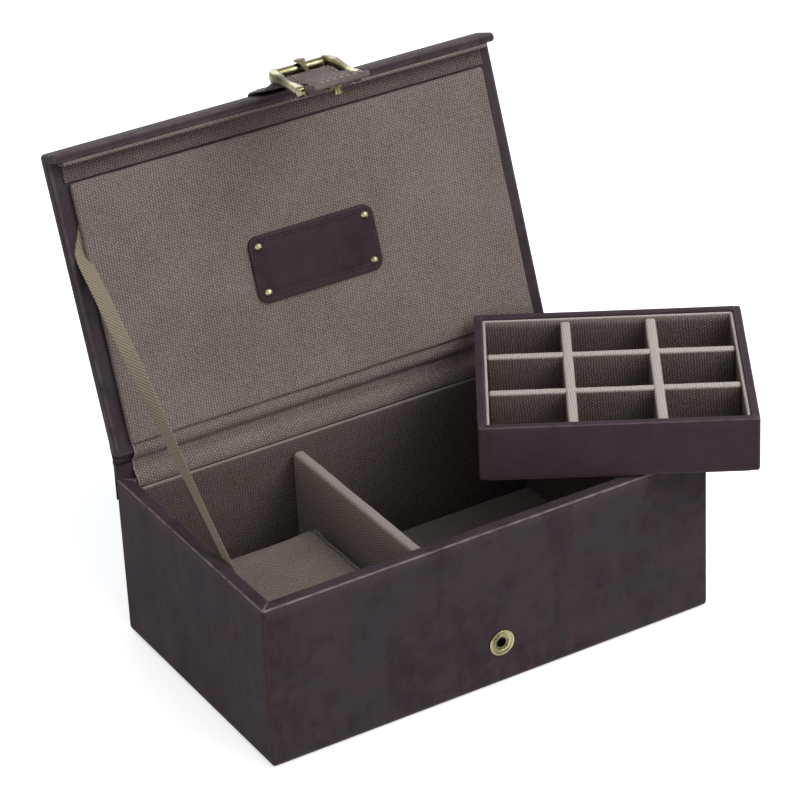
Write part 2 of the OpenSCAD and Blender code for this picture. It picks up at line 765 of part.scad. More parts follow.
module tray_base_board() {
    w = tray_w - 2 * (tray_leather_t + tray_board_t + glue);
    d = tray_d - 2 * (tray_leather_t + tray_board_t + glue);
    color(board_c) on_tray() span([-w / 2, -d / 2, tray_boards_z],
        [w / 2, d / 2, tray_boards_z + tray_board_t]);
}

module tray_long_board() {
    w = tray_w - 2 * tray_leather_t;
    span([-w / 2, 0, tray_boards_z], [w / 2, tray_board_t, tray_h - tray_leather_t]);
}

module tray_short_board() {
    d = tray_d - 2 * (tray_leather_t + tray_board_t);
    span([0, -d / 2, tray_boards_z], [tray_board_t, d / 2, tray_h - tray_leather_t]);
}

module tray_front_board() {
    color(board_c) on_tray() translate([0, -tray_d / 2 + tray_leather_t, 0]) tray_long_board();
}

module tray_back_board() {
    color(board_c) on_tray() translate([0, tray_d / 2 - tray_leather_t - tray_board_t, 0]) tray_long_board();
}

module tray_left_board() {
    color(board_c) on_tray() translate([-tray_w / 2 + tray_leather_t, 0, 0]) tray_short_board();
}

module tray_right_board() {
    color(board_c) on_tray() translate([tray_w / 2 - tray_leather_t - tray_board_t, 0, 0]) tray_short_board();
}

module tray_leather() {
    color(leather_c) on_tray() intersection() {
        mitred_frame(tray_w, tray_d, 9, 0, tray_h + 1)
            skin_section(tray_leather_t, tray_board_t, 1, base_sheet_t, tray_boards_z, tray_h, 8);
        linear_extrude(tray_h + 1) round_rect(tray_w, tray_d, 1.2);
    }
}

// Lining cards on the four inner faces of the tray
module tray_lining() {
    w = tray_inner_w - 2 * glue;
    d = tray_inner_d - 2 * glue;
    z = tray_boards_z + tray_board_t;
    color(lining_c) on_tray() difference() {
        span([-w / 2, -d / 2, z], [w / 2, d / 2, tray_h - 0.9]);
        span([-tray_clear_w / 2, -tray_clear_d / 2, z - 1], [tray_clear_w / 2, tray_clear_d / 2, tray_h]);
    }
}

module tray_floor_lining() {
    w = tray_clear_w - 2 * glue;
    d = tray_clear_d - 2 * glue;
    color(lining_c) on_tray() span([-w / 2, -d / 2, tray_boards_z + tray_board_t],
        [w / 2, d / 2, tray_floor_z]);
}

// Dividers lock into each other with slots half their height
module tray_long_divider() {
    mid = (tray_floor_z + tray_divider_top) / 2;
    difference() {
        upright_board(tray_divider_t, tray_clear_d - 2 * glue, tray_floor_z, tray_divider_top);
        for (sy = [-1, 1])
            translate([0, sy * (cell_d + tray_divider_t) / 2, tray_floor_z + (mid - tray_floor_z) / 2 - 0.5])
                cube([tray_divider_t + 2, tray_divider_t + 2 * glue, mid - tray_floor_z + 1], center = true);
    }
}

module tray_cross_divider() {
    mid = (tray_floor_z + tray_divider_top) / 2;
    difference() {
        rotate(90) upright_board(tray_divider_t, tray_clear_w - 2 * glue, tray_floor_z, tray_divider_top);
        for (sx = [-1, 1])
            translate([sx * (cell_w + tray_divider_t) / 2, 0, tray_divider_top])
                cube([tray_divider_t + 2 * glue, tray_divider_t + 2, 2 * (tray_divider_top - mid)], center = true);
    }
}

module tray_divider_left() {
    color(lining_c) on_tray() translate([-(cell_w + tray_divider_t) / 2, 0, 0]) tray_long_divider();
}

module tray_divider_right() {
    color(lining_c) on_tray() translate([(cell_w + tray_divider_t) / 2, 0, 0]) tray_long_divider();
}

module tray_cross_front() {
    color(lining_c) on_tray() translate([0, -(cell_d + tray_divider_t) / 2, 0]) tray_cross_divider();
}

module tray_cross_back() {
    color(lining_c) on_tray() translate([0, (cell_d + tray_divider_t) / 2, 0]) tray_cross_divider();
}

// Cushion

// One ring of the cushion: a rounded rectangle drawn in by an inset
function cushion_ring(z, inset, share) = let (w = (cushion_w / 2 - inset) * share,
        d = (cushion_d / 2 - inset) * share, r = cushion_r * share)
    [for (c = [[1, 1, 0], [-1, 1, 90], [-1, -1, 180], [1, -1, 270]], k = [0:cushion_side])
        let (a = c[2] + 90 * k / cushion_side)
        [c[0] * (w - r) + r * cos(a), c[1] * (d - r) + r * sin(a), z]];

// Boxed cushion: sides drawn in between the seams, top and foot crowned
module cushion() {
    belly = 1.2;
    side_rings = [for (i = [0:8]) let (t = i / 8)
        cushion_ring(1.5 + (cushion_h - 1.5) * t, belly * sin(180 * t), 1)];
    crown_rings = [for (s = [0.97, 0.9, 0.75, 0.55, 0.3, 0.05])
        cushion_ring(cushion_h + cushion_crown * (1 - pow(s, 4)), 0.3, s)];
    foot_rings = [cushion_ring(0, 1.5, 0.97), cushion_ring(0.5, 0.6, 1)];
    color(lining_c) translate([cushion_x, cushion_y, floor_z + 0.1])
        rings_solid(concat(foot_rings, side_rings, crown_rings), 4 * (cushion_side + 1));
}

base_sheet();
base_board();
front_board();
back_board();
left_board();
right_board();
case_leather();
spine();
front_lining();
back_lining();
left_lining();
right_lining();
floor_lining();
divider();
ledge_left();
ledge_right();
snap_eyelet();
snap_ring();
hinge_leather();
hinge_lining();
ribbon();
lid_board();
lip_board();
lid_leather();
lid_lining();
lip_lining();
plaque();
plaque_rivets();
strap_anchor();
strap_bend();
strap();
chape();
buckle_frame();
buckle_roller();
buckle_prong();
snap_stud();
tray_base_sheet();
tray_base_board();
tray_front_board();
tray_back_board();
tray_left_board();
tray_right_board();
tray_leather();
tray_lining();
tray_floor_lining();
tray_divider_left();
tray_divider_right();
tray_cross_front();
tray_cross_back();
cushion();
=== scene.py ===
from itertools import product
from math import atan2, copysign, cos, exp, hypot, pi, radians, sin, sqrt, tau

import bmesh
import bpy
import numpy as np
from mathutils import Matrix, Vector, noise
from numpy.linalg import norm


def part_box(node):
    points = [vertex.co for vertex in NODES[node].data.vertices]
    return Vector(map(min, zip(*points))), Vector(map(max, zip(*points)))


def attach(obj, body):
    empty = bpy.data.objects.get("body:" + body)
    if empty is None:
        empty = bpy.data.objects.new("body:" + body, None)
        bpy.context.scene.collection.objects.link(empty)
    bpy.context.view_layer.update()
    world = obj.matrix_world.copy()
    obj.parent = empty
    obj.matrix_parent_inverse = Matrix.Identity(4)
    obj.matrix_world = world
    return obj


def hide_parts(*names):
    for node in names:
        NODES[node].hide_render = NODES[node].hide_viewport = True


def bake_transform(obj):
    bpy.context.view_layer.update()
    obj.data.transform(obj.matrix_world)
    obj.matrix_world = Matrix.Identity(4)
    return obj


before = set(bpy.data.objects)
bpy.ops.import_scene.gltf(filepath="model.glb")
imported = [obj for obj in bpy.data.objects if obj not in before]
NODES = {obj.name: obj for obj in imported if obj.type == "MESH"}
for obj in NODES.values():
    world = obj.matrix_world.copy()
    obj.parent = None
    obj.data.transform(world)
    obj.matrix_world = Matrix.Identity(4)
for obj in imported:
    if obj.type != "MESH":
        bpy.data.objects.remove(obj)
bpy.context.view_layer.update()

MM = 0.001
QUARTERS = ((1, 1), (-1, 1), (-1, -1), (1, -1))

# Sizes in millimetres, as in the part's source
CASE_W, CASE_D, CASE_H, WALL = 180.0, 107.0, 63.5, 5.2
HINGE_Y, HINGE_Z, OPEN = 53.5, 69.5, 109.3
LID_Z0, LID_Z1, LID_BACK = 64.4, 70.4, 51.3
LIP_IN, LIP_OUT, LIP_Z, LID_R = -55.3, -58.7, 58.4, 1.5
SWING_Y, SWING_Z, STRAP_REST = -57.2, 68.9, 6.0
STRAP_X, STRAP_W, STRAP_T, STRAP_ROOT = 2.0, 18.0, 1.4, 34.0
SNAP_Z, SNAP_HOLE_R, HEEL_Y, HEEL_Z = 17.4, 2.6, -56.6, 23.3
BAR_GAP, BAR_R, TILT = 20.0, 1.2, 22.0
CHAPE_W, CHAPE_T = 22.4, 1.3
PLAQUE_W, PLAQUE_D, RIBBON_W = 51.5, 24.5, 5.5
TRAY_W, TRAY_D, TRAY_H, TRAY_WALL = 98.0, 85.0, 22.0, 3.0
TRAY_X, TRAY_Y, TRAY_TURN = 77.2, -13.5, -31.2
TRAY_CARD, TRAY_DIVIDER = 1.2, 4.0


def shift(x, y, z):
    return Matrix.Translation((x, y, z))


def about_x(y, z, degrees):
    return shift(0, y, z) @ Matrix.Rotation(radians(degrees), 4, "X") @ shift(0, -y, -z)


LID = about_x(HINGE_Y, HINGE_Z, -OPEN)
STRAP = LID @ about_x(SWING_Y, SWING_Z, -STRAP_REST)
BUCKLE = STRAP @ shift(STRAP_X, HEEL_Y, HEEL_Z) @ Matrix.Rotation(radians(90 + TILT), 4, "X")
TRAY = shift(TRAY_X, TRAY_Y, CASE_H + 0.1) @ Matrix.Rotation(radians(TRAY_TURN), 4, "Z")
PLAQUE = LID @ shift(1.4, 1.3, 62.2) @ Matrix.Rotation(pi, 4, "X")


# ---- Materials


class Wire:
    """A node's output. Arithmetic with it adds math nodes."""

    def __init__(self, shader, socket):
        self.shader, self.socket = shader, socket

    def math(self, operation, *others, clamp=False):
        return self.shader.add("Math", self, *others, operation=operation, use_clamp=clamp)

    def __add__(self, other):
        return self.math("ADD", other)

    def __mul__(self, other):
        return self.math("MULTIPLY", other)

    def __rsub__(self, other):
        return self.shader.add("Math", other, self, operation="SUBTRACT")


class Shader:
    """The nodes of a material or of the world, and short calls that add and link them."""

    def __init__(self, owner):
        owner.use_nodes = True
        self.owner, self.tree = owner, owner.node_tree

    def put(self, socket, value):
        if isinstance(value, Wire):
            self.tree.links.new(value.socket, socket)
        elif value is not None:
            socket.default_value = value

    def add(self, kind, *values, named=(), out=(0,), **settings):
        """Adds a node, with inputs in order or by name or index in named. out: the outputs to give back."""
        made = self.tree.nodes.new("ShaderNode" + kind)
        for key, value in settings.items():
            setattr(made, key, value)
        for key, value in [*enumerate(values), *dict(named).items()]:
            self.put(made.inputs[key], value)
        wires = [Wire(self, made.outputs[key]) for key in out]
        return wires[0] if len(wires) == 1 else wires

    def place(self):
        """The piece's own coordinates, in millimetres."""
        return self.add("VectorMath", self.add("TexCoord", out=("Object",)), None, None, 1 / MM, operation="SCALE")

    def cloth(self):
        """The two cloth coordinates, in millimetres."""
        return self.add("SeparateXYZ", self.add("TexCoord", out=("UV",)), out=(0, 1))

    def wear_and_top_highlight(self):
        """The piece's own mark: above 0 where leather is rubbed, where cut cloth is frayed and where a covered card's
        top carries a painted highlight; below 0 where leather is browned.
        """
        return self.add("Attribute", attribute_name="wear_and_top_highlight", attribute_type="GEOMETRY", out=("Fac",))

    def stretched(self, vector, x, y, z):
        return self.add("VectorMath", vector, (x, y, z), operation="MULTIPLY")

    def noise(self, vector, scale, detail=3.0, rough=0.5, distortion=0.0):
        return self.add("TexNoise", named={"Vector": vector, "Scale": scale, "Detail": detail, "Roughness": rough,
                                           "Distortion": distortion})

    def span(self, value, low, high, to_low=0.0, to_high=1.0):
        return self.add("MapRange", value, low, high, to_low, to_high, interpolation_type="SMOOTHSTEP")

    def ramp(self, value, *stops):
        made = self.add("ValToRGB", value)
        line = made.socket.node.color_ramp
        while len(line.elements) < len(stops):
            line.elements.new(0.5)
        for element, (where, colour) in zip(line.elements, stops):
            element.position = where
            element.color = (*colour, 1)
        return made

    def mix(self, share, a, b, how="MIX"):
        a, b = ((*v, 1) if isinstance(v, tuple) else v for v in (a, b))
        return self.add("Mix", named={0: share, 6: a, 7: b}, data_type="RGBA", blend_type=how, out=(2,))

    def bump(self, height, depth, normal=None, strength=1.0):
        """depth is in millimetres."""
        return self.add("Bump", named={"Strength": strength, "Distance": depth * MM, "Height": height,
                                       "Normal": normal})

    def finish(self, slot, **values):
        """Sets the inputs of the surface. slot is not used."""
        surface = self.tree.nodes["Principled BSDF"]
        for key, value in values.items():
            self.put(surface.inputs[key.replace("_", " ")], value)
        return self.owner


def new_shader(name):
    return Shader(bpy.data.materials.new(name + "_look"))


def leather(name, slot, dark, mid, warm, cool, worn, cloud=0.03, grain=0.03, rough=(0.5, 0.66), rub=1.0):
    """Finished hide: patches of warm and cool brown, fine grain, rubbed edges, browned corners."""
    s = new_shader(name)
    p = s.place()
    broad = s.noise(p, cloud, 4.0, 0.6, 0.8)
    fine = s.noise(p, cloud * 4.2, 5.0, 0.68, 0.4)
    streak = s.noise(s.stretched(p, 1.0, 1.0, 0.16), cloud * 5, 4.0, 0.6)
    hue = s.noise(s.add("VectorMath", p, (41.0, 13.0, 7.0), operation="ADD"), cloud * 1.7, 5.0, 0.62, 0.8)
    colour = s.mix(s.span(hue, 0.47, 0.62), cool, mid)
    colour = s.mix(s.span(hue * 0.6 + fine * 0.4, 0.5, 0.66) * 0.62, colour, warm)
    shade = broad * 0.4 + (fine * 0.35 + streak * 0.25)
    colour = s.mix(s.span(shade, 0.56, 0.38) * 0.66, colour, dark)
    edge = s.wear_and_top_highlight()
    patch = s.span(s.noise(p, 0.22, 5.0, 0.72), 0.3, 0.62)
    rubbed = edge.math("MAXIMUM", 0.0).math("MULTIPLY", patch * 0.75 + 0.25, clamp=True) * rub
    browned = (edge * -1.0).math("MAXIMUM", 0.0).math("MULTIPLY", patch * 0.5 + 0.5, clamp=True)
    colour = s.mix(browned, s.mix(rubbed, colour, worn), (0.085, 0.047, 0.043))
    scratch = s.span(s.noise(s.stretched(p, 0.05, 0.8, 0.8), 1.0, 3.0, 0.6, 0.5), 0.68, 0.76)
    colour = s.mix(scratch * 0.16, colour, worn)
    bent = s.add("VectorMath", p, s.stretched(s.noise(p, 0.5), 0.9, 0.9, 0.9), operation="ADD")
    pebble = s.span(s.add("TexVoronoi", named={"Vector": bent, "Scale": 1.15}, out=("Distance",),
                          feature="DISTANCE_TO_EDGE"), 0.0, 0.24)
    pores = s.noise(p, 2.4, 4.0, 0.65)
    creases = s.span(s.noise(p, 0.13, 6.0, 0.75, 1.5), 0.42, 0.58)
    grained = s.bump(pebble * 0.45 + pores * 0.55, grain)
    return s.finish(slot, Base_Color=colour, Roughness=s.span(broad * 0.6 + pores * 0.4, 0.4, 0.62, *rough),
                    Specular_IOR_Level=0.035, Normal=s.bump(creases, grain * 2.4, grained, 0.6))


def canvas(name, deep, mid, pale, slot="lining_fabric", light=(0.40, 0.345, 0.318)):
    """Plain weave on the cloth coordinates: raised floats laid like bricks, uneven yarns, open gaps."""
    float_run, row_run = 1.0, 0.56
    s = new_shader(name)
    u, v = s.cloth()
    flat = s.add("CombineXYZ", u, v, 0.0)
    flow = s.noise(flat, 0.09, 2.0)
    jitter = s.noise(flat, 0.8, 3.0, 0.7)
    x, y = u.math("DIVIDE", float_run), v.math("DIVIDE", row_run)
    x = x + (y * 0.042 + flow * 1.4) + jitter * 1.1
    y = y + flow * 2.2 + jitter * -1.5
    wave_x, wave_y = ((w * pi).math("SINE") for w in (x, y))
    gap_x, gap_y = (w.math("ABSOLUTE").math("POWER", 0.6) for w in (wave_x, wave_y))

    def yarn(across, along, seed):
        return s.noise(s.add("CombineXYZ", across.math("FLOOR") * 3.71, along * 0.3, seed), 1.0, 3.0, 0.7)

    tint = yarn(y, x, 1.7) * 0.55 + yarn(x, y, 8.3) * 0.45
    open_x = s.span(s.noise(flat, 0.8, 2.0, 0.6), 0.35, 0.65, 0.15, 0.75)
    rise = s.span(wave_x * wave_y, -0.55, 0.75) * 0.46 + gap_x * 0.36 + gap_x * gap_y * 0.18
    rise = rise * (1.0 - (1.0 - gap_x) * open_x)
    tone = tint * 0.4 + rise * 0.5 + s.noise(s.place(), 0.035, 3.0) * 0.16
    colour = s.ramp(tone, (0.24, deep), (0.5, mid), (0.78, pale))
    warmth = s.span(s.noise(s.place(), 0.11, 4.0, 0.6), 0.48, 0.62)
    colour = s.mix(warmth * 0.3, colour, (1.0, 0.88, 0.80), "MULTIPLY")
    # Paler where the mark is above 0: frayed cut ends, and the painted highlight on the tops of covered cards.
    fray_and_top_highlight = s.wear_and_top_highlight().math("MAXIMUM", 0.0)
    colour = s.mix(fray_and_top_highlight.math("MULTIPLY", rise * 0.6 + 0.35, clamp=True), colour, light)
    fuzz = s.bump(s.noise(s.place(), 4.0, 2.0), 0.06, s.bump(rise, 0.13))
    return s.finish(slot, Base_Color=colour, Roughness=0.9, Specular_IOR_Level=0.08, Sheen_Weight=0.08,
                    Sheen_Roughness=0.5, Normal=fuzz)


def twill(name, deep, pale):
    """Ribbon tape with slanted ribs."""
    s = new_shader(name)
    u, v = s.cloth()
    ribs = (u + v * 0.8).math("DIVIDE", 1.2)
    rib, yarns = (w.math("SINE").math("ABSOLUTE") for w in (ribs * pi, v * (pi / 0.34)))
    tone = rib * 0.75 + s.noise(s.place(), 0.9, 3.0) * 0.25
    return s.finish("ribbon_twill", Base_Color=s.ramp(tone, (0.12, deep), (0.5, pale)), Roughness=0.8,
                    Specular_IOR_Level=0.25, Normal=s.bump(rib + yarns * 0.35, 0.2))


def antique(name, deep, mid, pale):
    """Brass with a soft dark patina in places and a fine brushed surface."""
    s = new_shader(name)
    p = s.place()
    stain = s.noise(p, 0.13, 3.0, 0.5, 0.4)
    fine = s.noise(s.stretched(p, 0.5, 3.0, 3.0), 1.6, 3.0, 0.6)
    return s.finish("antique_brass", Base_Color=s.ramp(stain, (0.34, deep), (0.5, mid), (0.66, pale)), Metallic=1.0,
                    Roughness=s.span(stain, 0.35, 0.65, 0.32, 0.24) + fine * 0.06, Normal=s.bump(fine, 0.004))


def thread(name, slot, colour):
    s = new_shader(name)
    p = s.place()
    ply = s.noise(s.stretched(p, 3.0, 3.0, 3.0), 1.6, 2.0)
    pale = tuple(min(1.0, c * 1.5) for c in colour)
    return s.finish(slot, Base_Color=s.ramp(s.noise(p, 2.0, 3.0), (0.3, colour), (0.75, pale)), Roughness=0.7,
                    Normal=s.bump(ply, 0.05))


def greyboard(name):
    """Pressed board with short fibres."""
    s = new_shader(name)
    fibre = s.noise(s.stretched(s.place(), 0.5, 2.0, 2.0), 1.2, 5.0, 0.7)
    colour = s.ramp(fibre, (0.3, (0.22, 0.16, 0.10)), (0.7, (0.42, 0.33, 0.23)))
    return s.finish("box_board", Base_Color=colour, Roughness=0.9, Normal=s.bump(fibre, 0.06))


LEATHER = leather("case_leather", "cover_leather", (0.027, 0.0175, 0.0218), (0.0585, 0.0405, 0.0485),
                  (0.074, 0.0455, 0.0515), (0.053, 0.0435, 0.049), (0.225, 0.17, 0.184), rub=1.15)
TRAY_LEATHER = leather("tray_leather", "tray_leather", (0.04, 0.025, 0.032), (0.058, 0.037, 0.0475),
                       (0.066, 0.039, 0.05), (0.056, 0.04, 0.049), (0.15, 0.11, 0.125), cloud=0.02,
                       grain=0.014, rough=(0.46, 0.56), rub=0.8)
PLAQUE_LEATHER = leather("plaque_leather", "plaque_leather", (0.025, 0.016, 0.02),
                         (0.044, 0.0285, 0.035), (0.05, 0.029, 0.036), (0.039, 0.0285, 0.0335),
                         (0.075, 0.054, 0.061), cloud=0.05, grain=0.02, rough=(0.42, 0.55), rub=0.5)
STRAP_LEATHER = leather("strap_leather", "cover_leather", (0.105, 0.082, 0.075), (0.182, 0.146, 0.134),
                        (0.198, 0.15, 0.134), (0.164, 0.14, 0.13), (0.33, 0.275, 0.25), cloud=0.06,
                        grain=0.04, rough=(0.46, 0.6), rub=0.8)
LINING = canvas("lining_canvas", (0.066, 0.05, 0.044), (0.155, 0.124, 0.111), (0.3, 0.252, 0.232))
# Painted light: the divider's lining is the lining fabric painted paler, to stand for the light on the divider's
# face.
LIT_DIVIDER_LINING = canvas("divider_canvas", (0.115, 0.09, 0.076), (0.25, 0.205, 0.176), (0.43, 0.365, 0.325))
CUSHION_CLOTH = canvas("cushion_canvas", (0.07, 0.055, 0.046), (0.155, 0.126, 0.108), (0.3, 0.254, 0.225),
                       "cushion_fabric")
# Painted shadow: the lining fabric painted darker for the strip between the lid's panel and its lip, which lies in
# the lip's shadow.
SHADED_MARGIN_LINING = canvas("margin_canvas", (0.036, 0.027, 0.024), (0.088, 0.069, 0.063), (0.185, 0.152, 0.14))
# light is the paler colour of the painted highlight on the tops of the tray's cloth.
TRAY_LINING = canvas("tray_canvas", (0.04, 0.03, 0.027), (0.098, 0.077, 0.069), (0.215, 0.178, 0.162),
                     light=(0.62, 0.55, 0.51))
# Painted shade: the lining fabric painted darker for the box's well, to stand for the shade inside the compartments.
SHADED_WELL_LINING = canvas("well_canvas", (0.034, 0.026, 0.023), (0.08, 0.063, 0.056), (0.17, 0.14, 0.126))
RIBBON = twill("ribbon_twill", (0.075, 0.058, 0.036), (0.3, 0.255, 0.185))
BRASS = antique("antique_brass", (0.072, 0.062, 0.031), (0.152, 0.135, 0.075), (0.265, 0.243, 0.15))
PALE_BRASS = antique("pale_brass", (0.15, 0.125, 0.066), (0.3, 0.26, 0.15), (0.44, 0.395, 0.25))
BOARD = greyboard("greyboard")
DARK_THREAD = thread("dark_thread", "plaque_leather", (0.018, 0.012, 0.013))
PALE_THREAD = thread("pale_thread", "cover_leather", (0.26, 0.225, 0.215))
CLOTH_THREAD = thread("cloth_thread", "cushion_fabric", (0.105, 0.085, 0.072))


# ---- Making pieces

def new_object(name, data):
    made = bpy.data.objects.new(name, data)
    bpy.context.scene.collection.objects.link(made)
    return made


def make(name, verts, faces, material, body=None, place=None, nodes=(), uv=None, loop_uv=None,
         wear_and_top_highlight=None, smooth=True):
    """A mesh piece from points in millimetres, moved by place into the row frame."""
    points = np.asarray(verts, float)
    if place is not None:
        matrix = np.array(place)
        points = points @ matrix[:3, :3].T + matrix[:3, 3]
    data = bpy.data.meshes.new(name)
    data.from_pydata((points * MM).tolist(), [], [tuple(int(i) for i in f) for f in faces])
    layer = data.uv_layers.new(name="cloth")
    if loop_uv is not None:
        layer.data.foreach_set("uv", np.asarray(loop_uv, float).ravel())
    elif uv is not None:
        layer.data.foreach_set("uv", np.asarray(uv, float)[[v for face in faces for v in face]].ravel())
    if wear_and_top_highlight is not None:
        mark = data.attributes.new("wear_and_top_highlight", "FLOAT", "POINT")
        mark.data.foreach_set("value", np.asarray(wear_and_top_highlight, np.float32))
    data.polygons.foreach_set("use_smooth", [smooth] * len(data.polygons))
    data.materials.append(material)
    data.update()
    piece = new_object(name, data)
    if body:
        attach(piece, body)
    if nodes:
        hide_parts(*nodes)
    return piece


def rough(x, y, z, scale, seed=0.0):
    """Smooth noise from -1 to 1 at a point in millimetres."""
    return noise.noise(Vector((x * scale + seed, y * scale - seed, z * scale + 0.37 * seed)))


def rounded_box(lo, hi, r, step, puff=None, extra=((), (), ())):
    """Points, faces and cloth coordinates of a box with rounded edges, in fine quads."""
    lo, hi = np.array(lo, float), np.array(hi, float)
    r = min(r, 0.49 * float((hi - lo).min()))
    edge = r * np.array([0.0, 0.42, 0.74])
    grid = []
    for k in range(3):
        run = hi[k] - lo[k] - 2 * r
        inner = np.linspace(lo[k] + r, hi[k] - r, max(2, int(round(run / step)) + 1))
        inner = np.unique(np.concatenate([inner, [v for v in extra[k] if lo[k] + r < v < hi[k] - r]]))
        grid.append(np.concatenate([lo[k] + edge, inner, hi[k] - edge[::-1]]))
    index, faces, loops = {}, [], []
    for axis, side in product(range(3), (0, 1)):
        i, j = [(1, 2), (0, 2), (0, 1)][axis]
        for a, b in product(range(len(grid[i]) - 1), range(len(grid[j]) - 1)):
            quad = []
            for da, db in ((0, 0), (1, 0), (1, 1), (0, 1)):
                key = [0, 0, 0]
                key[axis], key[i], key[j] = side * (len(grid[axis]) - 1), a + da, b + db
                quad.append((index.setdefault(tuple(key), len(index)), (grid[i][a + da], grid[j][b + db])))
            if (side == 0) != (axis == 1):
                quad.reverse()
            faces.append([q[0] for q in quad])
            loops.extend(q[1] for q in quad)
    p = np.array([[grid[k][key[k]] for k in range(3)] for key in index])
    core = np.clip(p, lo + r, hi - r)
    d = p - core
    size = norm(d, axis=1)
    n = d / np.maximum(size, 1e-9)[:, None]
    p = core + n * r
    if puff is not None:
        p = p + n * np.array([puff(q) for q in p])[:, None]
    return p, faces, loops


def slab(name, lo, hi, r, material, body, place=None, nodes=(), step=3.0, lump=0.12, seed=1.0, lit=0.0):
    """A covered card: a rounded box whose cloth isn't quite even. lit: how strongly its top edge is painted paler, a
    painted highlight as if lit from above.
    """
    def puff(q):
        return lump * (rough(*q, 0.045, seed) + 0.5 * rough(*q, 0.16, seed + 5))
    points, faces, loops = rounded_box(lo, hi, r, step, puff)
    # Painted highlight: the top 0.8 mm of the card is painted paler as if lit from above, by lit.
    wear_and_top_highlight = lit * np.clip((points[:, 2] - (hi[2] - 0.8)) / 0.7, 0, 1)
    return make(name, points, faces, material, body, place, nodes, loop_uv=loops, wear_and_top_highlight=wear_and_top_highlight)


def node_box(node):
    """The two corners of a CAD node's box, in millimetres."""
    return [np.array(corner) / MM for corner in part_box(node)]


def card(node, r, seed, material=None, step=4.0, lump=0.1):
    """A covered card that fills the box of its CAD node."""
    lo, hi = node_box(node)
    # By default the card wears the darker well lining as painted shade, and lit=0.8 paints its top edge paler as a
    # painted highlight.
    slab(node + "_cloth", lo + 0.01, hi - 0.01, r, material or SHADED_WELL_LINING, "case", nodes=(node,), step=step,
         lump=lump, seed=seed, lit=0.8)


def grid_faces(rows, columns, close_columns=False, close_rows=False):
    faces = []
    for i in range(rows if close_rows else rows - 1):
        for j in range(columns if close_columns else columns - 1):
            a, b = (i + 1) % rows, (j + 1) % columns
            faces.append((i * columns + j, i * columns + b, a * columns + b, a * columns + j))
    return faces


def tube_faces(rows, columns):
    """The faces of a tube of rings, shut at both ends."""
    last = (rows - 1) * columns
    return (grid_faces(rows, columns, close_columns=True)
            + [tuple(range(columns))[::-1], tuple(range(last, last + columns))])


def frame_skin(hx, hy, corner, profile, step, arc=6, mitre=99.0):
    """Rings round a rectangle, one station after another: profile holds (inset, height, wear)."""
    points, wears = [], []

    def spot(q, angle, inset):
        r = max(corner - inset, 0.12)
        sx, sy = QUARTERS[q % 4]
        return np.array([sx * (hx - inset - r) + r * cos(angle), sy * (hy - inset - r) + r * sin(angle)])

    for q in range(4):
        for k in range(arc + 1):
            angle = radians(90 * q + 90 * k / arc)
            for inset, z, wear_and_top_highlight in profile:
                points.append((*spot(q, angle, inset), z))
                if z > mitre:
                    wear_and_top_highlight = max(wear_and_top_highlight, 0.85)
                elif wear_and_top_highlight <= 0.05 and inset <= 0.6:
                    wear_and_top_highlight = -0.9 * sin(pi * k / arc)
                wears.append(wear_and_top_highlight)
        run = 2 * (hx if q in (0, 2) else hy)
        count = max(2, int(run / step))
        for share in (0.35 / run, 0.9 / run, *(k / count for k in range(1, count)), 1 - 0.9 / run, 1 - 0.35 / run):
            for inset, z, wear_and_top_highlight in profile:
                a, b = spot(q, angle, inset), spot(q + 1, angle, inset)
                points.append((*(a + (b - a) * share), z))
                wears.append(wear_and_top_highlight)
    return np.array(points), wears


def covered_walls(name, hx, hy, corner, wall, rim_r, height, tuck, material, body, nodes, place=None, step=2.5,
                  bow=0.14, seed=3.0):
    """Leather over four walls: turned under the foot, up the outside, over the rim and down inside."""
    foot, top = 0.8, height - rim_r
    profile = [(tuck, foot + 0.05, 0), (2.4, foot, 0), (1.1, foot + 0.08, 0.05), (0.35, foot + 0.35, 0.3),
               (0.08, foot + 0.9, 0.2), (0, foot + 1.7, 0.02)]

    def rounded(middle, first, turn, wears):
        for k, wear_and_top_highlight in enumerate(wears):
            a = radians(first - turn * k)
            profile.append((middle + rim_r * cos(a), top + rim_r * sin(a), wear_and_top_highlight))

    z = foot + 3.4
    while z < top - 1.2:
        profile.append((0, z, 0))
        z += step
    profile.append((0, top - 0.5, 0.1))
    rounded(rim_r, 180, 15, (0.02, 0.12, 0.7, 1.0, 0.6, 0.1, 0))
    profile.extend((rim_r + (wall - 2 * rim_r) * share, height, 0) for share in (0.33, 0.67))
    rounded(wall - rim_r, 90, 18, (0, 0.05, 0.12, 0.05, 0, 0))
    profile.extend((wall, top - (tuck - rim_r) * share, 0) for share in (0.25, 0.6, 1.0))
    points, wears = frame_skin(hx, hy, corner, profile, step, mitre=height - 0.8 * rim_r)
    for p in points:
        sides = hx - abs(p[0]), hy - abs(p[1])
        if min(sides) < 0.3 and foot + 1 < p[2] < height:
            away = min(1.0, max(0.0, (max(sides) - corner) / 6))
            push = bow * away * (rough(*p, 0.028, seed) + 0.55 * rough(*p, 0.09, seed))
            k = 0 if sides[0] < sides[1] else 1
            p[k] += copysign(push, p[k])
        if p[2] > height - 0.05:
            p[2] += 0.07 * rough(*p, 0.08, seed + 2)
    columns = len(profile)
    faces = grid_faces(len(points) // columns, columns, close_rows=True)
    return make(name, points, [f[::-1] for f in faces], material, body, place, nodes, wear_and_top_highlight=wears)


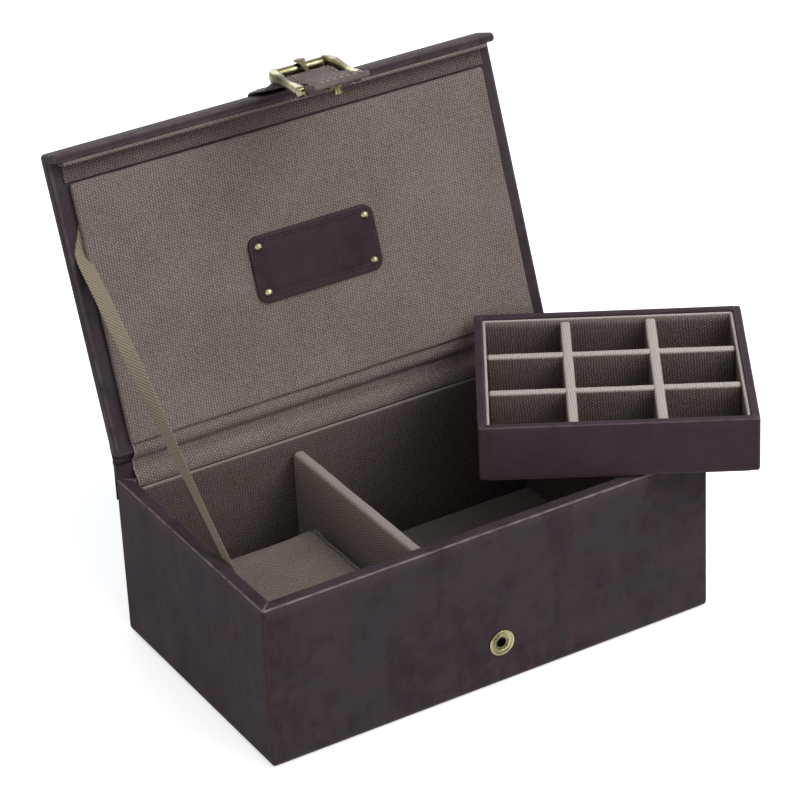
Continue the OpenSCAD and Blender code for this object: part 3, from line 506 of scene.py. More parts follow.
def loft_x(name, rings, xs, material, body=None, place=None, nodes=(), wear_and_top_highlight=None, lengths=None, ragged=0.0):
    """Closed outlines in the side view, set one after another along X, with flat or ragged ends."""
    rings = np.asarray(rings, float)
    rows, columns = rings.shape[:2]
    points = np.empty((rows, columns, 3))
    points[:, :, 0] = np.asarray(xs)[:, None]
    points[:, :, 1:] = rings
    if ragged:
        for k, v in enumerate(lengths):
            fray = ragged * (rough(v, 0, 0, 0.9, 3.0) + 0.6 * rough(v, 0, 0, 2.3, 5.0))
            points[0, k, 0] += fray
            points[-1, k, 0] -= fray
        wear_and_top_highlight = np.zeros((rows, columns))
        wear_and_top_highlight[:1] = wear_and_top_highlight[-1:] = 1.0
        wear_and_top_highlight = wear_and_top_highlight.ravel()
    uv = None if lengths is None else [(x, v) for x in xs for v in lengths]
    return make(name, points.reshape(-1, 3), tube_faces(rows, columns), material, body, place, nodes, uv=uv,
                wear_and_top_highlight=wear_and_top_highlight)


def smooth_path(points, step):
    """Evenly spaced points on a curve through the given ones."""
    p = [np.array(q, float) for q in points]
    p = [2 * p[0] - p[1]] + p + [2 * p[-1] - p[-2]]
    fine = []
    for i in range(1, len(p) - 2):
        for t in np.linspace(0, 1, 24, endpoint=False):
            fine.append(0.5 * (2 * p[i] + (p[i + 1] - p[i - 1]) * t
                        + (2 * p[i - 1] - 5 * p[i] + 4 * p[i + 1] - p[i + 2]) * t * t
                        + (3 * p[i] - p[i - 1] - 3 * p[i + 1] + p[i + 2]) * t ** 3))
    fine.append(p[-2])
    fine = np.array(fine)
    run = np.concatenate([[0], np.cumsum(norm(np.diff(fine, axis=0), axis=1))])
    at = np.linspace(0, run[-1], max(3, int(round(run[-1] / step)) + 1))
    return np.stack([np.interp(at, run, fine[:, k]) for k in range(fine.shape[1])], axis=1), at


def tangents(points):
    d = np.gradient(points, axis=0)
    return d / norm(d, axis=1)[:, None]


def oval(count, power_x=1.0, power_y=1.0):
    """Points round an oval: powers below 1 flatten its sides, and both at 1 give a circle."""
    turns = np.linspace(0, 2 * pi, count, endpoint=False)
    return [(copysign(abs(cos(a)) ** power_x, cos(a)),
             copysign(abs(sin(a)) ** power_y, sin(a))) for a in turns]


def sweep(name, centres, sides, normals, half_w, half_t, material, body=None, place=None, nodes=(),
          section=None, along=None, wear_and_top_highlight=None):
    """A closed form that follows a path, with its own half width and half thickness at each point."""
    rows = len(centres)
    a, b = np.array(section or oval(24, 0.55, 0.8)).T
    half_w, half_t = np.broadcast_to(half_w, rows), np.broadcast_to(half_t, rows)
    sides, normals = (np.broadcast_to(v, (rows, 3))[:, None, :] for v in (sides, normals))
    points = (np.asarray(centres)[:, None, :] + sides * (half_w[:, None] * a)[:, :, None]
              + normals * (half_t[:, None] * b)[:, :, None])
    along = np.arange(rows) if along is None else along
    uv = [(w * q, v) for w, v in zip(half_w, along) for q in a]
    if wear_and_top_highlight is not None:
        wear_and_top_highlight = [wear_and_top_highlight * max(0.0, (abs(q) - 0.86) / 0.14) for _ in range(rows) for q in a]
    return make(name, points.reshape(-1, 3), tube_faces(rows, len(a)), material, body, place, nodes, uv=uv,
                wear_and_top_highlight=wear_and_top_highlight)


def stitches(name, rows, material, body, place=None, dash=1.7, pitch=2.5, thick=0.2, lean=0.0):
    """Rows of sewn thread. Each row is (points, direction that the thread stands up in)."""
    points, faces = [], []
    rings, sides = (-1, -0.86, -0.45, 0, 0.45, 0.86, 1), 6
    for path, up in rows:
        line, run = smooth_path(path, 0.25)
        up = np.array(up, float)
        count = max(1, int(run[-1] / pitch))
        real = run[-1] / count

        def spot(s):
            return np.array([np.interp(s, run, line[:, i]) for i in range(3)])

        for k in range(count):
            base = len(points)
            for t in rings:
                at = (k + 0.5) * real + t * dash / 2
                ahead = spot(at + 0.1) - spot(at - 0.1)
                side = np.cross(ahead / max(1e-9, norm(ahead)), up)
                middle = spot(at) + side * lean * t + up * thick * (0.75 - 1.5 * t * t)
                w = thick * sqrt(max(0.04, 1 - 0.9 * t * t))
                for a in range(sides):
                    angle = pi * a / 3
                    points.append(middle + side * w * cos(angle) + up * w * sin(angle))
            faces.extend(tuple(base + v for v in face) for face in tube_faces(len(rings), sides))
    return make(name, points, faces, material, body, place)


# ---- Case

def punch(piece, x, y, z, radius):
    """A round hole in a skin's front: the faces there give way to a ring of faces drawn to a circle."""
    cleared, search, count = 3.4, 9.0, 40
    form = bmesh.new()
    form.from_mesh(piece.data)

    def within(v, reach):
        return abs(v.co.y / MM - y) < 0.6 and hypot(v.co.x / MM - x, v.co.z / MM - z) < reach

    def turn(v):
        return atan2(v.co.z / MM - z, v.co.x / MM - x)

    def next_turn(loop, k):
        return turn(loop[(k + 1) % len(loop)]) + (tau if k + 1 >= len(loop) else 0)

    bmesh.ops.delete(form, geom=[v for v in form.verts if within(v, cleared)], context="VERTS")
    border = {v for e in form.edges if e.is_boundary for v in e.verts if within(v, search)}
    level = sum(v.co.y for v in border) / len(border)
    angles = [-pi + tau * (k + 0.5) / count for k in range(count)]
    circle = [form.verts.new((x * MM + radius * MM * cos(a), level, z * MM + radius * MM * sin(a)))
              for a in angles]
    outer, inner = sorted(border, key=turn), sorted(circle, key=turn)
    i = j = 0
    while i < len(outer) or j < len(inner):
        corners = [outer[i % len(outer)], inner[j % len(inner)]]
        if j >= len(inner) or (i < len(outer) and next_turn(outer, i) <= next_turn(inner, j)):
            i += 1
            corners.append(outer[i % len(outer)])
        else:
            j += 1
            corners.append(inner[j % len(inner)])
        face = form.faces.new(corners)
        face.smooth = True
        face.normal_update()
        if face.normal.y > 0:
            face.normal_flip()
    form.to_mesh(piece.data)
    form.free()


case_skin = covered_walls("case_skin", CASE_W / 2, CASE_D / 2, 1.3, WALL, 0.95, CASE_H, 12, LEATHER,
                          "case", ("case_leather",))
punch(case_skin, STRAP_X, -CASE_D / 2, SNAP_Z, SNAP_HOLE_R)

for seed, node in enumerate(("front_lining", "back_lining", "left_lining", "right_lining"), 2):
    card(node, 0.75, seed, step=5.0)
card("floor_lining", 0.6, 6)
# The divider wears the paler lining: painted light on its face.
card("divider", 1.5, 7, LIT_DIVIDER_LINING, step=3.0, lump=0.16)
card("ledge_left", 1.2, 8)
card("ledge_right", 1.2, 9)

lo, hi = node_box("divider")
stitches("divider_tack", [([(lo[0] - 0.15, hi[1] - 0.2, 10), (lo[0] - 0.15, hi[1] - 0.2, hi[2] - 1)], (-1, 0, 0))],
         CLOTH_THREAD, "case", dash=0.9, pitch=1.9, thick=0.22)


def open_at(along, below):
    """A place on the open lid, by its distance from the axis and below the axis's level when shut."""
    a = radians(OPEN)
    return (HINGE_Y - along * cos(a) - below * sin(a), HINGE_Z + along * sin(a) - below * cos(a))


def fold_strip():
    """The fabric strip over the fold, from the back lining to the lid's panel."""
    half, thick, ripple, seed = 83.6, 0.55, 0.28, 4.0
    line, run = smooth_path(
        [(48.05, 60.3), (48.0, 62.0), (48.5, 63.7), (49.5, 64.7), (50.5, 65.5), (51.0, 66.7), (51.1, 68.2),
         (51.35, 69.4), (51.3, 70.3), (50.2, 71.1), (49.35, 72.4), (49.2, 74.0), (49.75, 75.4),
         open_at(6.4, 5.15), open_at(7.6, 5.0)], 0.5)
    d = tangents(line)
    n = np.stack([-d[:, 1], d[:, 0]], axis=1)
    fade = np.sin(np.pi * np.clip(run / run[-1], 0, 1)) ** 0.5
    xs = np.linspace(-half, half, int(2 * half / 3) + 1)
    xs = np.concatenate([[-half, 0.5 - half], xs[1:-1], [half - 0.5, half]])
    rings = []
    for x in xs:
        push = np.array([ripple * f * (rough(x, s, 0, 0.045, seed) + 0.5 * rough(x, s, 9, 0.15, seed))
                         for f, s in zip(fade, run)])[:, None]
        rings.append(np.concatenate([line + n * (thick / 2 + push), (line - n * (thick / 2 - push))[::-1]]))
    piece = loft_x("fold_cloth", rings, xs, LINING, nodes=("hinge_lining",),
                   lengths=np.concatenate([run, run[::-1]]), ragged=0.45)
    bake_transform(piece)
    length = float(norm(np.diff(line, axis=0), axis=1).sum())


fold_strip()


def fold_leather():
    """Leather over the fold, with a soft filling that closes the gap between spine and lid."""
    side_view = np.array([
        (54.15, 64.4), (54.4, 66.6), (54.72, 68.4), (54.95, 69.6), (55.3, 70.9), open_at(3.4, -1.2),
        open_at(7, -1.15), open_at(7, -0.95), open_at(3.4, -0.93), open_at(1.6, -0.9), (54.1, 71.55), (52.7, 72.0),
        (51.7, 72.35), (51.75, 71.2), (51.85, 70.2), (52.0, 69.2), (53.4, 69.12), (53.95, 68.4), (53.95, 66.6),
        (53.9, 64.4)])
    xs = np.concatenate([[-89.6, -89.3], np.linspace(-88.5, 88.5, 50), [89.3, 89.6]])
    centre = side_view.mean(axis=0)
    rings = []
    for x in xs:
        ring = centre + (side_view - centre) * (0.9 if abs(x) > 89.5 else 1.0)
        ring[:, 0] += [0.06 * rough(x, y, z, 0.07, 6.0) for y, z in side_view]
        rings.append(ring)
    piece = loft_x("fold_leather", rings, xs, LEATHER, nodes=("hinge_leather",))
    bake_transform(piece)


fold_leather()


# ---- Lid

def outline(corners, radii, inset, steps):
    """A closed outline with straight sides and rounded corners, drawn in by inset, and its wear."""
    arc = 5
    pts = [np.array(c, float) for c in corners]
    after = pts[1:] + pts[:1]
    way = 1 if sum(a[0] * b[1] - b[0] * a[1] for a, b in zip(pts, after)) > 0 else -1
    turns = []
    for a, b, c, r in zip(pts[-1:] + pts[:-1], pts, after, radii):
        u, v = (b - a) / norm(b - a), (c - b) / norm(c - b)
        inward = way * np.array([-u[1] - v[1], u[0] + v[0]])
        convex = way * (u[0] * v[1] - u[1] * v[0]) > 0
        turns.append((b + inset * inward, u, v, convex, max(0.08, r - inset if convex else r + inset)))
    ring, wear_and_top_highlight = [], []
    for i, (p, u, v, convex, r) in enumerate(turns):
        for k in range(arc + 1):
            t = k / arc * pi / 2
            ring.append(p - u * r + u * r * sin(t) + v * r * (1 - cos(t)))
            wear_and_top_highlight.append(sin(2 * t) if convex else 0.0)
        q, u2, _, _, r2 = turns[(i + 1) % len(turns)]
        end, far = p + v * r, q - u2 * r2
        for k in range(1, steps[i]):
            ring.append(end + (far - end) * k / steps[i])
            wear_and_top_highlight.append(0.0)
    return np.array(ring), wear_and_top_highlight


def lid_skin():
    """The lid's leather, from its side view, drawn in at both ends."""
    corners = [(LIP_OUT, LID_Z1), (LIP_OUT, LIP_Z), (LIP_IN, LIP_Z), (LIP_IN, LID_Z0), (LID_BACK, LID_Z0),
               (LID_BACK, LID_Z1)]
    radii = [1.5, 1.4, 1.2, 0.35, 1.5, 1.5]
    steps = [4, 2, 3, 36, 2, 38]
    xs, rings, wears = [], [], []
    half = CASE_W / 2
    stations = [(-half + LID_R * (1 - cos(t)), LID_R * (1 - sin(t)), sin(2 * t))
                for t in np.linspace(0, pi / 2, 6)]
    stations += [(x, 0.0, 0.0) for x in np.linspace(-half + LID_R, half - LID_R, 60)[1:-1]]
    stations += [(-x, inset, w) for x, inset, w in stations[5::-1]]
    for x, inset, end_wear in stations:
        ring, wear_and_top_highlight = outline(corners, radii, inset * 0.98, steps)
        for p in ring:
            if abs(p[1] - LID_Z1) < 0.02 and inset == 0:
                p[1] += 0.10 * rough(x, p[0], 0, 0.03, 8.0)
        xs.append(x)
        rings.append(ring)
        wears.extend(max(0.42 * w * w, 0.42 * end_wear ** 2) for w in wear_and_top_highlight)
    loft_x("lid_skin", rings, xs, LEATHER, "lid", LID, ("lid_leather",), wear_and_top_highlight=wears)


lid_skin()
slab("lid_panel_cloth", (-84.3, -46.9, 62.2), (84.3, 47.6, 64.38), 1.05, LINING, "lid", LID, ("lid_lining",),
     lump=0.22, seed=11.0)
slab("lip_cloth", (-86.6, -55.27, 58.9), (86.6, -53.85, 64.3), 0.68, LINING, "lid", LID, ("lip_lining",),
     step=2.5, seed=12.0)
# The margin cloth wears the darker lining: the painted shadow of the lip.
slab("margin_cloth", (-85.6, -54.6, 63.65), (85.6, -47.5, 64.37), 0.34, SHADED_MARGIN_LINING, "lid", LID, step=2.5,
     lump=0.08, seed=13.0)


def plaque():
    """The leather plaque with its pressed border, and the thread along it."""
    profile = [(0.3, 0, 0), (0, 0.25, 0), (0, 0.85, 0.3), (0.12, 1.12, 0.8), (0.4, 1.32, 0.9), (0.9, 1.4, 0.3),
               (1.5, 1.38, 0), (1.75, 1.27, 0), (2.0, 1.38, 0), (2.9, 1.42, 0), (3.1, 1.30, 0), (3.3, 1.42, 0),
               (6.0, 1.46, 0), (9.0, 1.46, 0), (11.5, 1.46, 0)]
    points, wears = frame_skin(PLAQUE_W / 2, PLAQUE_D / 2, 4.0, profile, 1.5, arc=8)
    columns = len(profile)
    rows = len(points) // columns
    faces = [f[::-1] for f in grid_faces(rows, columns, close_rows=True)]
    faces.append(tuple(k * columns + columns - 1 for k in range(rows)))
    faces.append(tuple(k * columns for k in range(rows))[::-1])
    points[:, 2] = np.minimum(points[:, 2], 1.39)
    make("plaque_leather", points, faces, PLAQUE_LEATHER, "lid", PLAQUE, ("plaque",), wear_and_top_highlight=wears)
    margin, r = 1.75, 2.3
    hx, hy = PLAQUE_W / 2 - margin - r, PLAQUE_D / 2 - margin - r
    loop = []
    for q, (sx, sy) in enumerate(QUARTERS):
        for k in range(5):
            a = radians(90 * q + 22.5 * k)
            loop.append(np.array((sx * hx + r * cos(a), sy * hy + r * sin(a), 1.3)))
    loop.append(loop[0])
    line = []
    for a, b in zip(loop, loop[1:]):
        count = max(1, int(norm(b - a) / 1.5))
        line.extend(a + (b - a) * k / count for k in range(count))
    line.append(loop[-1])
    stitches("plaque_stitches", [(line, (0, 0, 1))], DARK_THREAD, "lid", PLAQUE, pitch=2.6, thick=0.24)


plaque()


# ---- Ribbon

def ribbon():
    """Tape held under the lid's panel; it turns from the lid's plane to the wall's."""
    top = [(x, *open_at(*at)) for x, *at in ((-81.0, 86, 5.2), (-83.4, 80, 5.25), (-85.4, 74.5, 5.6))]
    foot = [(-84.05, -18.6, 63.4), (-83.95, -20.9, 60.6), (-83.95, -22.5, 58.6)]
    a, b = np.array(top[-1]), np.array(foot[0])
    middle = [a + (b - a) * t for t in (0.12, 0.3, 0.5, 0.7, 0.88)]
    line, run = smooth_path(top + middle + foot, 1.6)
    ahead = tangents(line)
    w = np.clip((run / run[-1] - 0.08) / 0.8, 0, 1)[:, None]
    turn = w * w * (3 - 2 * w) * pi / 2
    lid_normal = np.array([0, -sin(radians(OPEN)), -cos(radians(OPEN))])
    normals = lid_normal * np.cos(turn) + np.array([-1.0, 0, 0]) * np.sin(turn)
    normals = normals - ahead * (ahead * normals).sum(axis=1)[:, None]
    normals /= norm(normals, axis=1)[:, None]
    piece = sweep("ribbon_tape", line, np.cross(ahead, normals), normals, RIBBON_W / 2, 0.24, RIBBON,
                  nodes=("ribbon",), along=run)
    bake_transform(piece)


ribbon()


# ---- Strap and buckle

def ease(t):
    return (1 - cos(pi * t)) / 2


def run_of(a, b, n):
    return [(a[0] + (b[0] - a[0]) * ease(i / n), a[1] + (b[1] - a[1]) * i / n) for i in range(n)]


def turn_points(points, y0, z0, degrees):
    c, s = cos(radians(degrees)), sin(radians(degrees))
    return [(y0 + (y - y0) * c - (z - z0) * s, z0 + (y - y0) * s + (z - z0) * c) for y, z in points]


FAR_Y = HEEL_Y - BAR_GAP * sin(radians(TILT))
FAR_Z = HEEL_Z + BAR_GAP * cos(radians(TILT))
FOLD_R = BAR_R + 0.1 + CHAPE_T
CHAPE_END = SNAP_Z - 5.6


def strap():
    """The strap in one piece: sewn root on the lid, bend over its edge, hanging part with its sewn rows."""
    gap = LID_R + 0.2
    inner = SWING_Y - gap
    under = FAR_Y + BAR_R + 0.45 + STRAP_T
    over = HEEL_Y - FOLD_R + 1.15
    tail = HEEL_Y - CHAPE_T + 0.85
    free = [(inner, SWING_Z - 1.5), (inner, SWING_Z - 5)]
    way = [(inner, LIP_Z - 0.6, 7), (under, FAR_Z + 3, 2), (under, FAR_Z - 5, 8), (over, HEEL_Z + 4, 1),
           (over, HEEL_Z, 4), (tail, HEEL_Z - 5, 0)]
    for a, b in zip(way, way[1:]):
        free += run_of(a, b, a[2])
    free += [(tail, HEEL_Z - 5), (tail, CHAPE_END + 0.8)]
    free = turn_points([(y - STRAP_T / 2, z) for y, z in free], SWING_Y, SWING_Z, -STRAP_REST)
    r = gap + STRAP_T / 2
    root = [(SWING_Y + STRAP_ROOT - k * STRAP_ROOT / 8, SWING_Z + r) for k in range(8)]
    bend = [(SWING_Y - r * sin(radians(a)), SWING_Z + r * cos(radians(a)))
            for a in (0, 16, 32, 48, 64, 79)]
    side_view, run = smooth_path(root + bend + free, 0.8)
    line = np.column_stack([np.full(len(side_view), STRAP_X), side_view])
    side = np.array([1.0, 0, 0])
    normals = np.cross(tangents(line), side)
    if normals[0][2] < 0:
        normals = -normals
    total = run[-1]

    def half(s):
        w, r = STRAP_W / 2, 3
        if s < w:
            return max(0.4, sqrt(max(0.0, w * w - (w - s) ** 2)))
        left = total - s
        return w - r + sqrt(max(0.05, r * r - (r - left) ** 2)) if left < r else w

    thick = np.where((run < 0.5) | (run > total - 0.5), 0.45, 0.7)
    piece = sweep("strap_leather", line, side, normals, np.array([half(s) for s in run]), thick, STRAP_LEATHER,
                  nodes=("strap_anchor", "strap_bend", "strap"), place=LID, along=run, wear_and_top_highlight=0.7)
    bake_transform(piece)
    seam = STRAP_W / 2 - 1.7
    cut = int(np.argmin(np.abs(line[:, 2] - (SWING_Z - 3)) + 100 * (run < STRAP_ROOT)))
    outer = line + normals * 0.66
    rows = [[p + np.array([x, 0, 0]) for p in outer[cut:-3:3]] for x in (-seam, seam)]
    rows.append([outer[-4] + np.array([x, 0, 0]) for x in np.linspace(-7, 7, 8)])
    for name, row in zip("abc", rows):
        pieces = []
        middle = len(row) // 2
        for part in (row[:middle + 1], row[middle:]):
            if len(part) > 2:
                up = normals[-4] if name == "c" else np.cross(part[-1] - part[0], side)
                up = up / norm(up)
                pieces.append((part, -up if up[1] > 0 else up))
        stitches("strap_stitches_" + name, pieces, PALE_THREAD, "strap_body", LID)
    top, end_y = 72.0, SWING_Y + STRAP_ROOT - 9
    rows = [[(STRAP_X + x, SWING_Y + 3, top), (STRAP_X + x, end_y, top)] for x in (-seam, seam)]
    rows.append([(STRAP_X + seam * cos(a), end_y + seam * sin(a), top) for a in np.linspace(0, pi, 13)])
    stitches("strap_root_stitches", [(row, (0, 0, 1)) for row in rows], PALE_THREAD, "lid", LID)


strap()


def chape():
    """Folded leather round the heel bar, sewn along its edges."""
    slab("chape_layers", (STRAP_X - CHAPE_W / 2, HEEL_Y - CHAPE_T + 0.02, CHAPE_END),
         (STRAP_X + CHAPE_W / 2, HEEL_Y + CHAPE_T - 0.02, HEEL_Z - 3.2), 1.0, STRAP_LEATHER, "strap_body", STRAP,
         ("chape",), step=1.6, seed=21.0)
    bottom, slot_half, half = HEEL_Z - 4.5, 1.7, 8.6
    ring = [(HEEL_Y + FOLD_R * cos(a), HEEL_Z + FOLD_R * sin(a))
            for a in np.linspace(-0.425 * pi, pi, 16)]
    ring = [(HEEL_Y + CHAPE_T, bottom), *ring, (HEEL_Y - CHAPE_T, bottom)]
    for sx, name in ((-1, "left"), (1, "right")):
        xs = np.linspace(*sorted((STRAP_X + sx * slot_half, STRAP_X + sx * half)), 7)
        rings = [[(HEEL_Y + (y - HEEL_Y) * g, HEEL_Z + (z - HEEL_Z) * g) for y, z in ring]
                 for g in (0.93, 1, 1, 1, 1, 1, 0.93)]
        loft_x("chape_fold_" + name, rings, xs, STRAP_LEATHER, "strap_body", STRAP)
    y, w, low = HEEL_Y - CHAPE_T - 0.05, CHAPE_W / 2 - 1.1, CHAPE_END + 0.55
    rows = [([(x, y, bottom), (x, y, CHAPE_END + 3)], (0, -1, 0)) for x in (STRAP_X - w, STRAP_X + w)]
    rows.append(([(STRAP_X - w + 1, y + 0.25, low), (STRAP_X + w - 1, y + 0.25, low)], (0, -0.8, -0.6)))
    stitches("chape_stitches", rows, PALE_THREAD, "strap_body", STRAP, dash=1.9, thick=0.26, lean=0.22)


chape()


def metal(name, *form, **more):
    """A swept brass form of the buckle, in the buckle's own frame."""
    sweep("buckle_" + name, *form, BRASS, "strap_body", BUCKLE, **more)


def buckle():
    """Broad sides with elbows at the far corners and flared lugs, two bars and a leaf-ended prong."""
    up, across = (0, 0, 1.0), (0, 1.0, 0)
    route = [(11.35, -2.2, 0), (11.35, -0.8, 0), (11.3, 1.5, 0), (11.35, 5, 0.15), (11.5, 10, 0.25),
             (11.45, 14, 0.15), (11.3, 17.0, 0), (10.75, 19.0, 0), (9.95, 19.95, 0), (9.2, 20.15, 0)]
    for sx, name in ((-1, "left"), (1, "right")):
        centres, run = smooth_path([(sx * x, y, z) for x, y, z in route], 0.45)
        ts = run / run[-1]
        waist = np.sin(np.pi * np.clip((ts - 0.10) / 0.66, 0, 1)) ** 1.2
        tip = np.sqrt(np.clip(1 - (np.clip(0.06 - ts, 0, 1) / 0.06) ** 2, 0.03, 1))
        tip = np.minimum(tip, np.sqrt(np.clip(1 - (np.clip(ts - 0.985, 0, 1) / 0.015) ** 2 * 0.4, 0.3, 1)))
        metal("side_" + name, centres, np.cross(tangents(centres), up), up, (2.0 - 0.62 * waist) * tip,
              (1.95 + 0.15 * ts - 0.62 * waist) * tip, nodes=("buckle_frame",) if sx < 0 else (),
              section=oval(28, 0.55, 0.5), along=run)
        xs = np.array([-0.3, 0.0, 0.2, 0.32])
        grow = 1.45 * np.array([1.0, 0.97, 0.8, 0.2])
        centres = np.column_stack([sx * (13.15 + xs), np.full(4, -0.2), np.zeros(4)])
        metal("lug_" + name, centres, across, up, grow, grow, section=oval(24))
    for where, name in ((0, "heel"), (BAR_GAP, "far")):
        centres = [(x, where, 0) for x in np.linspace(-9.9, 9.9, 5)]
        metal("bar_" + name, centres, across, up, BAR_R, BAR_R, section=oval(20))
    path = [(0, -0.2, 1.6), (0, 1.6, 1.35), (0, 4.5, 0.3), (0, 9, -0.5), (0, 12.5, -0.35), (0, 15.5, 1.1),
            (0, 18, 2.5), (0, 20, 2.95), (0, 21.6, 2.5), (0, 22.6, 1.9)]
    line, run = smooth_path(path, 0.4)
    side = (1.0, 0, 0)
    share = run / run[-1]
    leaf = np.exp(-((share - 0.88) / 0.085) ** 2)
    end = np.sqrt(np.clip(1 - np.clip((share - 0.93) / 0.07, 0, 1) ** 2, 0.02, 1))
    metal("prong_leaf", line, side, np.cross(side, tangents(line)), (0.85 + 1.35 * leaf) * end,
          (0.78 - 0.22 * leaf) * end, nodes=("buckle_prong",), section=oval(24), along=run)
    eye = 2.25 * np.array(oval(24))
    loft_x("buckle_prong_eye", [eye * g for g in (0.9, 1.0, 1.0, 0.9)], [-0.9, -0.7, 0.7, 0.9], BRASS, "strap_body",
           BUCKLE)


buckle()


# ---- Tray

def tray():
    """Leather outside, lining cards inside, and two by two dividers."""
    covered_walls("tray_skin", TRAY_W / 2, TRAY_D / 2, 1.1, TRAY_WALL, 0.7, TRAY_H, 8, TRAY_LEATHER, "tray",
                  ("tray_leather",), TRAY, step=2.0, bow=0.08, seed=30.0)

    def cloth(name, lo, hi, r, node, **more):
        slab(name, lo, hi, r, TRAY_LINING, "tray", TRAY, (node,) if node else (), **more)

    x1, y1 = TRAY_W / 2 - TRAY_WALL, TRAY_D / 2 - TRAY_WALL
    x0, y0 = x1 - TRAY_CARD, y1 - TRAY_CARD
    walls = [((-x1, -y1), (x1, -y0)), ((-x1, y0), (x1, y1)), ((-x1, -y0), (-x0, y0)), ((x0, -y0), (x1, y0))]
    # lit=1.15 paints the tops of the tray's cloth paler: a painted highlight.
    for k, (a, b) in enumerate(walls):
        cloth("tray_wall_cloth_%d" % k, (*a, 3.15), (*b, 21.1), 0.55, "" if k else "tray_lining",
              lump=0.08, seed=31.0 + k, lit=1.15)
    cloth("tray_floor_cloth", (-x0, -y0, 3.1), (x0, y0, 4.3), 0.5, "tray_floor_lining", step=4.0, lump=0.1, seed=36.0)
    cell_w, cell_d = (2 * (v - TRAY_DIVIDER) / 3 for v in (x0, y0))
    low, loose = 4.35, 0.05
    for side, name in ((-1, "left"), (1, "right")):
        x = side * (cell_w + TRAY_DIVIDER) / 2
        cloth("tray_divider_%s_cloth" % name, (x - 2, loose - y0, low), (x + 2, y0 - loose, 20.4), 1.1,
              "tray_divider_" + name, lump=0.14, seed=38.0 + side, lit=1.15)
    for side, name in ((-1, "front"), (1, "back")):
        y = side * (cell_d + TRAY_DIVIDER) / 2
        cloth("tray_cross_%s_cloth" % name, (loose - x0, y - 1.9, low), (x0 - loose, y + 1.9, 20.15), 1.1,
              "tray_cross_" + name, lump=0.14, seed=42.0 + side, lit=1.15)


tray()


# ---- Watch cushion

def inflate(piece, points):
    """The points of a closed cover after a short cloth simulation with pressure, in millimetres."""
    cloth = piece.modifiers.new("Cloth", "CLOTH")
    cloth.settings.use_pressure = True
    cloth.settings.uniform_pressure_force = 4.0
    cloth.settings.effector_weights.gravity = 0.0
    cloth.settings.tension_stiffness = 15
    cloth.settings.compression_stiffness = 10
    cloth.settings.bending_stiffness = 0.5
    cloth.settings.quality = 6
    scene = bpy.context.scene
    scene.frame_start, scene.frame_end = 1, 18
    for step in range(1, 19):
        scene.frame_set(step)
    solved = piece.evaluated_get(bpy.context.evaluated_depsgraph_get()).to_mesh()
    moved = np.array([v.co for v in solved.vertices]) / MM
    piece.modifiers.remove(cloth)
    scene.frame_set(1)
    return moved


def cushion():
    """Foam block in a sewn canvas cover, let out by a cloth simulation."""
    lo, hi = node_box("cushion")
    top = hi[2] - 1.2
    (cx, cy), (hx, hy) = (lo + hi)[:2] / 2, (hi - lo)[:2] / 2 - 0.3
    seam, corner = hx - 3.0, 3.4
    near = [cx + side * (seam + k) for side in (-1, 1) for k in (-1.2, -0.6, -0.3, 0, 0.3, 0.6, 1.2)]
    rest, faces, loops = rounded_box((cx - hx, cy - hy, lo[2]), (cx + hx, cy + hy, top), 1.6, 2.2,
                                     extra=(near, (), ()))
    for p in rest:
        x, y = p[0] - cx, p[1] - cy
        ex, ey = abs(x) - (hx - corner), abs(y) - (hy - corner)
        if ex > 0 and ey > 0:
            k = max(ex, ey) / hypot(ex, ey)
            p[0] = cx + copysign(hx - corner + ex * k, x)
            p[1] = cy + copysign(hy - corner + ey * k, y)
    piece = make("cushion_cover", rest, faces, CUSHION_CLOTH, nodes=("cushion",), loop_uv=loops,
                 wear_and_top_highlight=np.zeros(len(rest)))
    pull = inflate(piece, rest) - rest
    size = norm(pull, axis=1)
    final = rest + pull * (np.minimum(size, 0.8) / np.maximum(size, 1e-6))[:, None]
    for p, q in zip(final, rest):
        x, y = (q[0] - cx) / hx, (q[1] - cy) / hy
        level = (q[2] - lo[2]) / (top - lo[2])
        crown = max(0.0, 1 - x ** 6) * max(0.0, 1 - y ** 6)
        up = min(1.0, max(0.0, (level - 0.93) / 0.07))
        past = abs(q[0] - cx) - seam
        groove = exp(-(past / 0.5) ** 2) * (1 + 0.3 * rough(q[0], q[1], 0, 0.4, 9.0))
        roll = exp(-((past - 1.2) / 0.7) ** 2)
        p[2] += up * (0.9 * crown + 0.22 * rough(q[0], q[1], 0, 0.06, 50.0) - 1.3 * groove + 0.45 * roll)
        waist = 0.7 * sin(pi * min(1.0, level))
        p[:2] -= waist * x, waist * y
    final = np.clip(final, lo + (-0.2, -0.2, 0.02), hi + (0.2, 0.2, 0.6))
    piece.data.vertices.foreach_set("co", (final * MM).ravel())
    piece.data.update()
    extra = piece.modifiers.new("Smooth", "SUBSURF")
    extra.levels = extra.render_levels = 1
    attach(piece, "cushion_body")
    flat = rest[:, 2] > top - 0.01
    rows = []
    for x in (cx - seam, cx + seam):
        path = []
        for y in np.linspace(cy - hy + 2.5, cy + hy - 2.5, 34):
            gap = np.hypot(rest[:, 0] - x, rest[:, 1] - y) + 100 * ~flat
            path.append((x, y, float(final[np.argsort(gap)[:2], 2].mean()) + 0.02))
        rows.append((path, (0, 0, 1)))
    stitches("cushion_seam", rows, CLOTH_THREAD, "cushion_body", dash=1.6, pitch=2.4)


cushion()


# ---- CAD nodes that stay

def dress(node, material):
    node.data.materials.clear()
    node.data.materials.append(material)


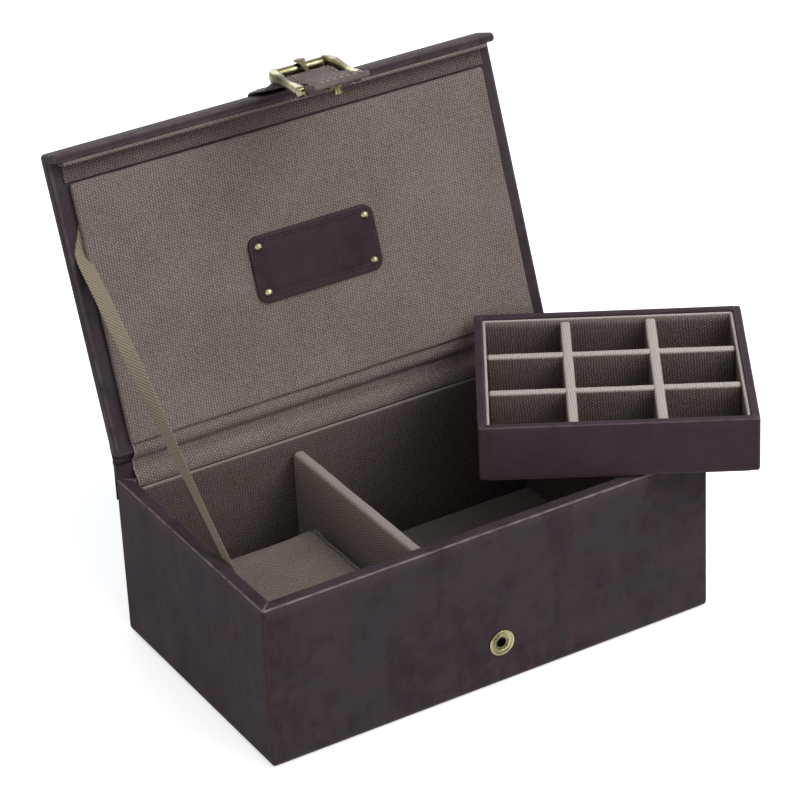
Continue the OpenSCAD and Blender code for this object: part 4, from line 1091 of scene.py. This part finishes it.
for name, node in NODES.items():
    if name.endswith("_board"):
        dress(node, BOARD)
for name in ("snap_eyelet", "snap_ring", "snap_stud", "plaque_rivets", "buckle_roller"):
    node = NODES[name]
    dress(node, PALE_BRASS if name in ("snap_ring", "plaque_rivets") else BRASS)
    node.data.polygons.foreach_set("use_smooth", [True] * len(node.data.polygons))
    node.data.set_sharp_from_angle(angle=radians(35))
dress(NODES["spine"], LEATHER)
dress(NODES["base_sheet"], LINING)
dress(NODES["tray_base_sheet"], LINING)


# ---- Camera, light and backdrop

def camera():
    """The camera that was fitted to the photo: where it stands, its angles and its lens."""
    where, lens = (-0.526808, -0.915508, 0.676789), 155.61
    yaw, pitch, roll = 0.5196, 0.5068, -0.0494
    turn = Matrix.Rotation(-yaw, 4, "Z") @ Matrix.Rotation(pi / 2 - pitch, 4, "X") @ Matrix.Rotation(roll, 4, "Z")
    data = bpy.data.cameras.new("camera")
    data.sensor_width, data.lens = 36.0, lens
    data.clip_start, data.clip_end = 0.05, 20.0
    eye = bpy.context.scene.camera = new_object("camera", data)
    eye.matrix_world = shift(*where) @ turn


def area_light(name, where, aim, size, power, tint=(1, 1, 1)):
    """A soft lamp that looks at a point on the box's axis, aim metres above the table."""
    data = bpy.data.lights.new(name, "AREA")
    data.shape = "RECTANGLE"
    data.size, data.size_y = size
    data.energy, data.color = power, tint
    lamp = new_object(name, data)
    lamp.location = where
    lamp.rotation_euler = (Vector((0, 0, aim)) - Vector(where)).to_track_quat("-Z", "Y").to_euler()


def seen_by_eye(s):
    """1 for rays from the camera, also by way of a glossy or clear surface, and 0 for the light's own rays."""
    straight, glossy, clear = s.add("LightPath", out=("Is Camera Ray", "Is Glossy Ray", "Is Transmission Ray"))
    return straight.math("MAXIMUM", glossy).math("MAXIMUM", clear)


def backdrop():
    """A pale floor and a white studio that give the box less light than they show."""
    s = new_shader("floor")
    seen = seen_by_eye(s)
    look = s.finish("box_board", Base_Color=s.mix(seen, (0.36, 0.36, 0.37), (0.95, 0.95, 0.95)), Roughness=0.95,
                    Specular_IOR_Level=0.0, Emission_Color=(1, 1, 1, 1), Emission_Strength=seen * 0.6)
    side, drop = 6000.0, 0.0002
    floor = make("floor", [(x * side, y * side, 0) for x, y in ((-1, -1), (1, -1), (1, 1), (-1, 1))], [(0, 1, 2, 3)],
                 look, smooth=False)
    floor.location.z = -drop
    world = bpy.context.scene.world = bpy.data.worlds.new("studio")
    s = Shader(world)
    s.tree.nodes.clear()
    light = s.add("Background", (0.93, 0.96, 1.0, 1), 0.42)
    white = s.add("Background", (1, 1, 1, 1), 1.0)
    s.add("OutputWorld", s.add("MixShader", seen_by_eye(s), light, white), out=())


camera()
backdrop()
area_light("key", (0.85, -0.85, 1.35), 0.06, (0.9, 0.9), 16.0, (1.0, 0.99, 0.975))
area_light("top", (0.0, -0.9, 1.5), 0.06, (1.2, 0.8), 4.0)
area_light("front", (0.2, -1.8, 0.65), 0.06, (1.4, 0.7), 7.5)
area_light("left", (-1.8, -0.5, 0.3), 0.08, (0.8, 0.5), 3.2)
area_light("back", (0.5, 1.9, 0.7), 0.1, (1.2, 0.7), 7.0)
bpy.context.scene.view_settings.view_transform = "Standard"
